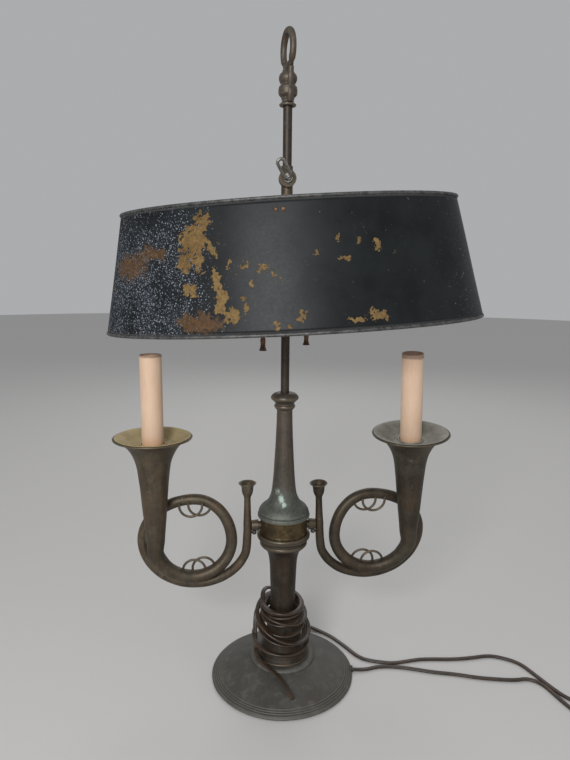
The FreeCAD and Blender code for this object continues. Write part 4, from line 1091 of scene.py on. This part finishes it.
def shadePoint(share, angle, inset):
    # share 0 at the top rim, 1 at the bottom; slightly buckled, as thin sheet is
    long, short, up = (a + (b - a) * share for a, b in zip(shade["top"], shade["bottom"]))
    spot = Vector((math.cos(angle) * 2.2, math.sin(angle) * 2.2, share * 2))
    wave = shade["wave"] * math.sin(math.pi * share) * noise.noise(spot)
    way = Vector((short * math.cos(angle), long * math.sin(angle), 0)).normalized()
    return Vector((long * math.cos(angle), short * math.sin(angle), up)) + way * (wave - inset)


def makeShade():
    place = shadePlace()
    sides, levels = shade["sides"], shade["levels"]
    rows = []
    wear = []
    for inset, shares in ((0.0, range(levels + 1)), (shade["wall"], range(levels, -1, -1))):
        for level in shares:
            share = level / levels
            rows.append([place @ (shadePoint(share, 2 * math.pi * k / sides, inset) * mm) for k in range(sides)])
            near = min(share, 1 - share) * (shade["top"][2] - shade["bottom"][2])
            wear += [max(0, 1 - near / shade["edge"]) if inset == 0 else 0] * sides
    points, faces = skin([row[::-1] for row in rows])
    faces += [((2 * levels + 1) * sides + k, (2 * levels + 1) * sides + (k + 1) % sides, (k + 1) % sides, k)
              for k in range(sides)]
    piece = settle(addMesh("shadeSheet", points, faces, wear), "shade", "black_tole", toleFinish(), "shade_wall")
    piece.data.materials.append(shadeInsideFinish())
    inner = levels * sides
    for index, polygon in enumerate(piece.data.polygons):
        polygon.material_index = 1 if index > inner + sides else 0


# finishes for the pieces that keep their CAD shape

def dressNodes():
    dress(bronzeFinish("rodBronze", 0.9, 0.2, 0.05, streaks=0.3, tint=(0.072, 0.057, 0.045)), "rod")
    dress(bronzeFinish("stubBronze", 0.9, 0.3, 0.1), "left_arm_stub", "right_arm_stub", "shade_carrier",
          "cluster_body")
    dress(bronzeFinish("crookBronze", 1.3, 0.4, 0.2), "left_crook_rings", "right_crook_rings")
    dress(plainFinish("rimMetal", (0.15, 0.15, 0.145), (0.045, 0.045, 0.046), 0.42, 0.006, 0.6),
          "shade_top_bead", "shade_bottom_bead")
    dark = steelFinish("darkSteel", (0.17, 0.155, 0.14), (0.055, 0.050, 0.045), 0.5)
    dress(dark, "rod_washer", "rod_nut", "stub_screws", "cluster_screw", "shade_strap", "shade_hub",
          "left_candle_nipple", "right_candle_nipple")
    dress(steelFinish("brightSteel", (0.46, 0.45, 0.42), (0.20, 0.19, 0.175), 0.36), "key_screw", "key_handle")
    copper = brassFinish("copperRed", (0.25, 0.145, 0.100), (0.105, 0.062, 0.042), 0.5, 0.38)
    dress(copper, "strap_rivets", "left_pull_bell", "right_pull_bell", "left_pull_chain", "right_pull_chain")
    brass = brassFinish("socketBrass", (0.46, 0.34, 0.14), (0.20, 0.14, 0.07), 0.45)
    for side in ("left", "right"):
        dress(brass, side + "_socket_cap", side + "_socket_shell", side + "_chain_guide", side + "_candle_shell")
        dress(plainFinish(side + "Liner", (0.36, 0.28, 0.19), (0.20, 0.15, 0.10), 0.75, 0.003),
              side + "_socket_liner")
        dress(plainFinish(side + "SocketBlack", (0.055, 0.050, 0.046), (0.025, 0.023, 0.021), 0.5, 0.003),
              side + "_candle_socket")
    dress(feltFinish(), "base_felt")
    dress(plainFinish("bushingBlack", (0.05, 0.045, 0.04), (0.02, 0.018, 0.016), 0.55, 0.003), "cord_bushing")


makeFoot()
makePedestal()
makeDrum()
makeColumn()
print("stand turned")
makeFinial()
for side in ("left", "right"):
    makeHorn(side)
print("finial, horns and candles made")
makeShade()
dressNodes()
print("shade made, CAD pieces finished")
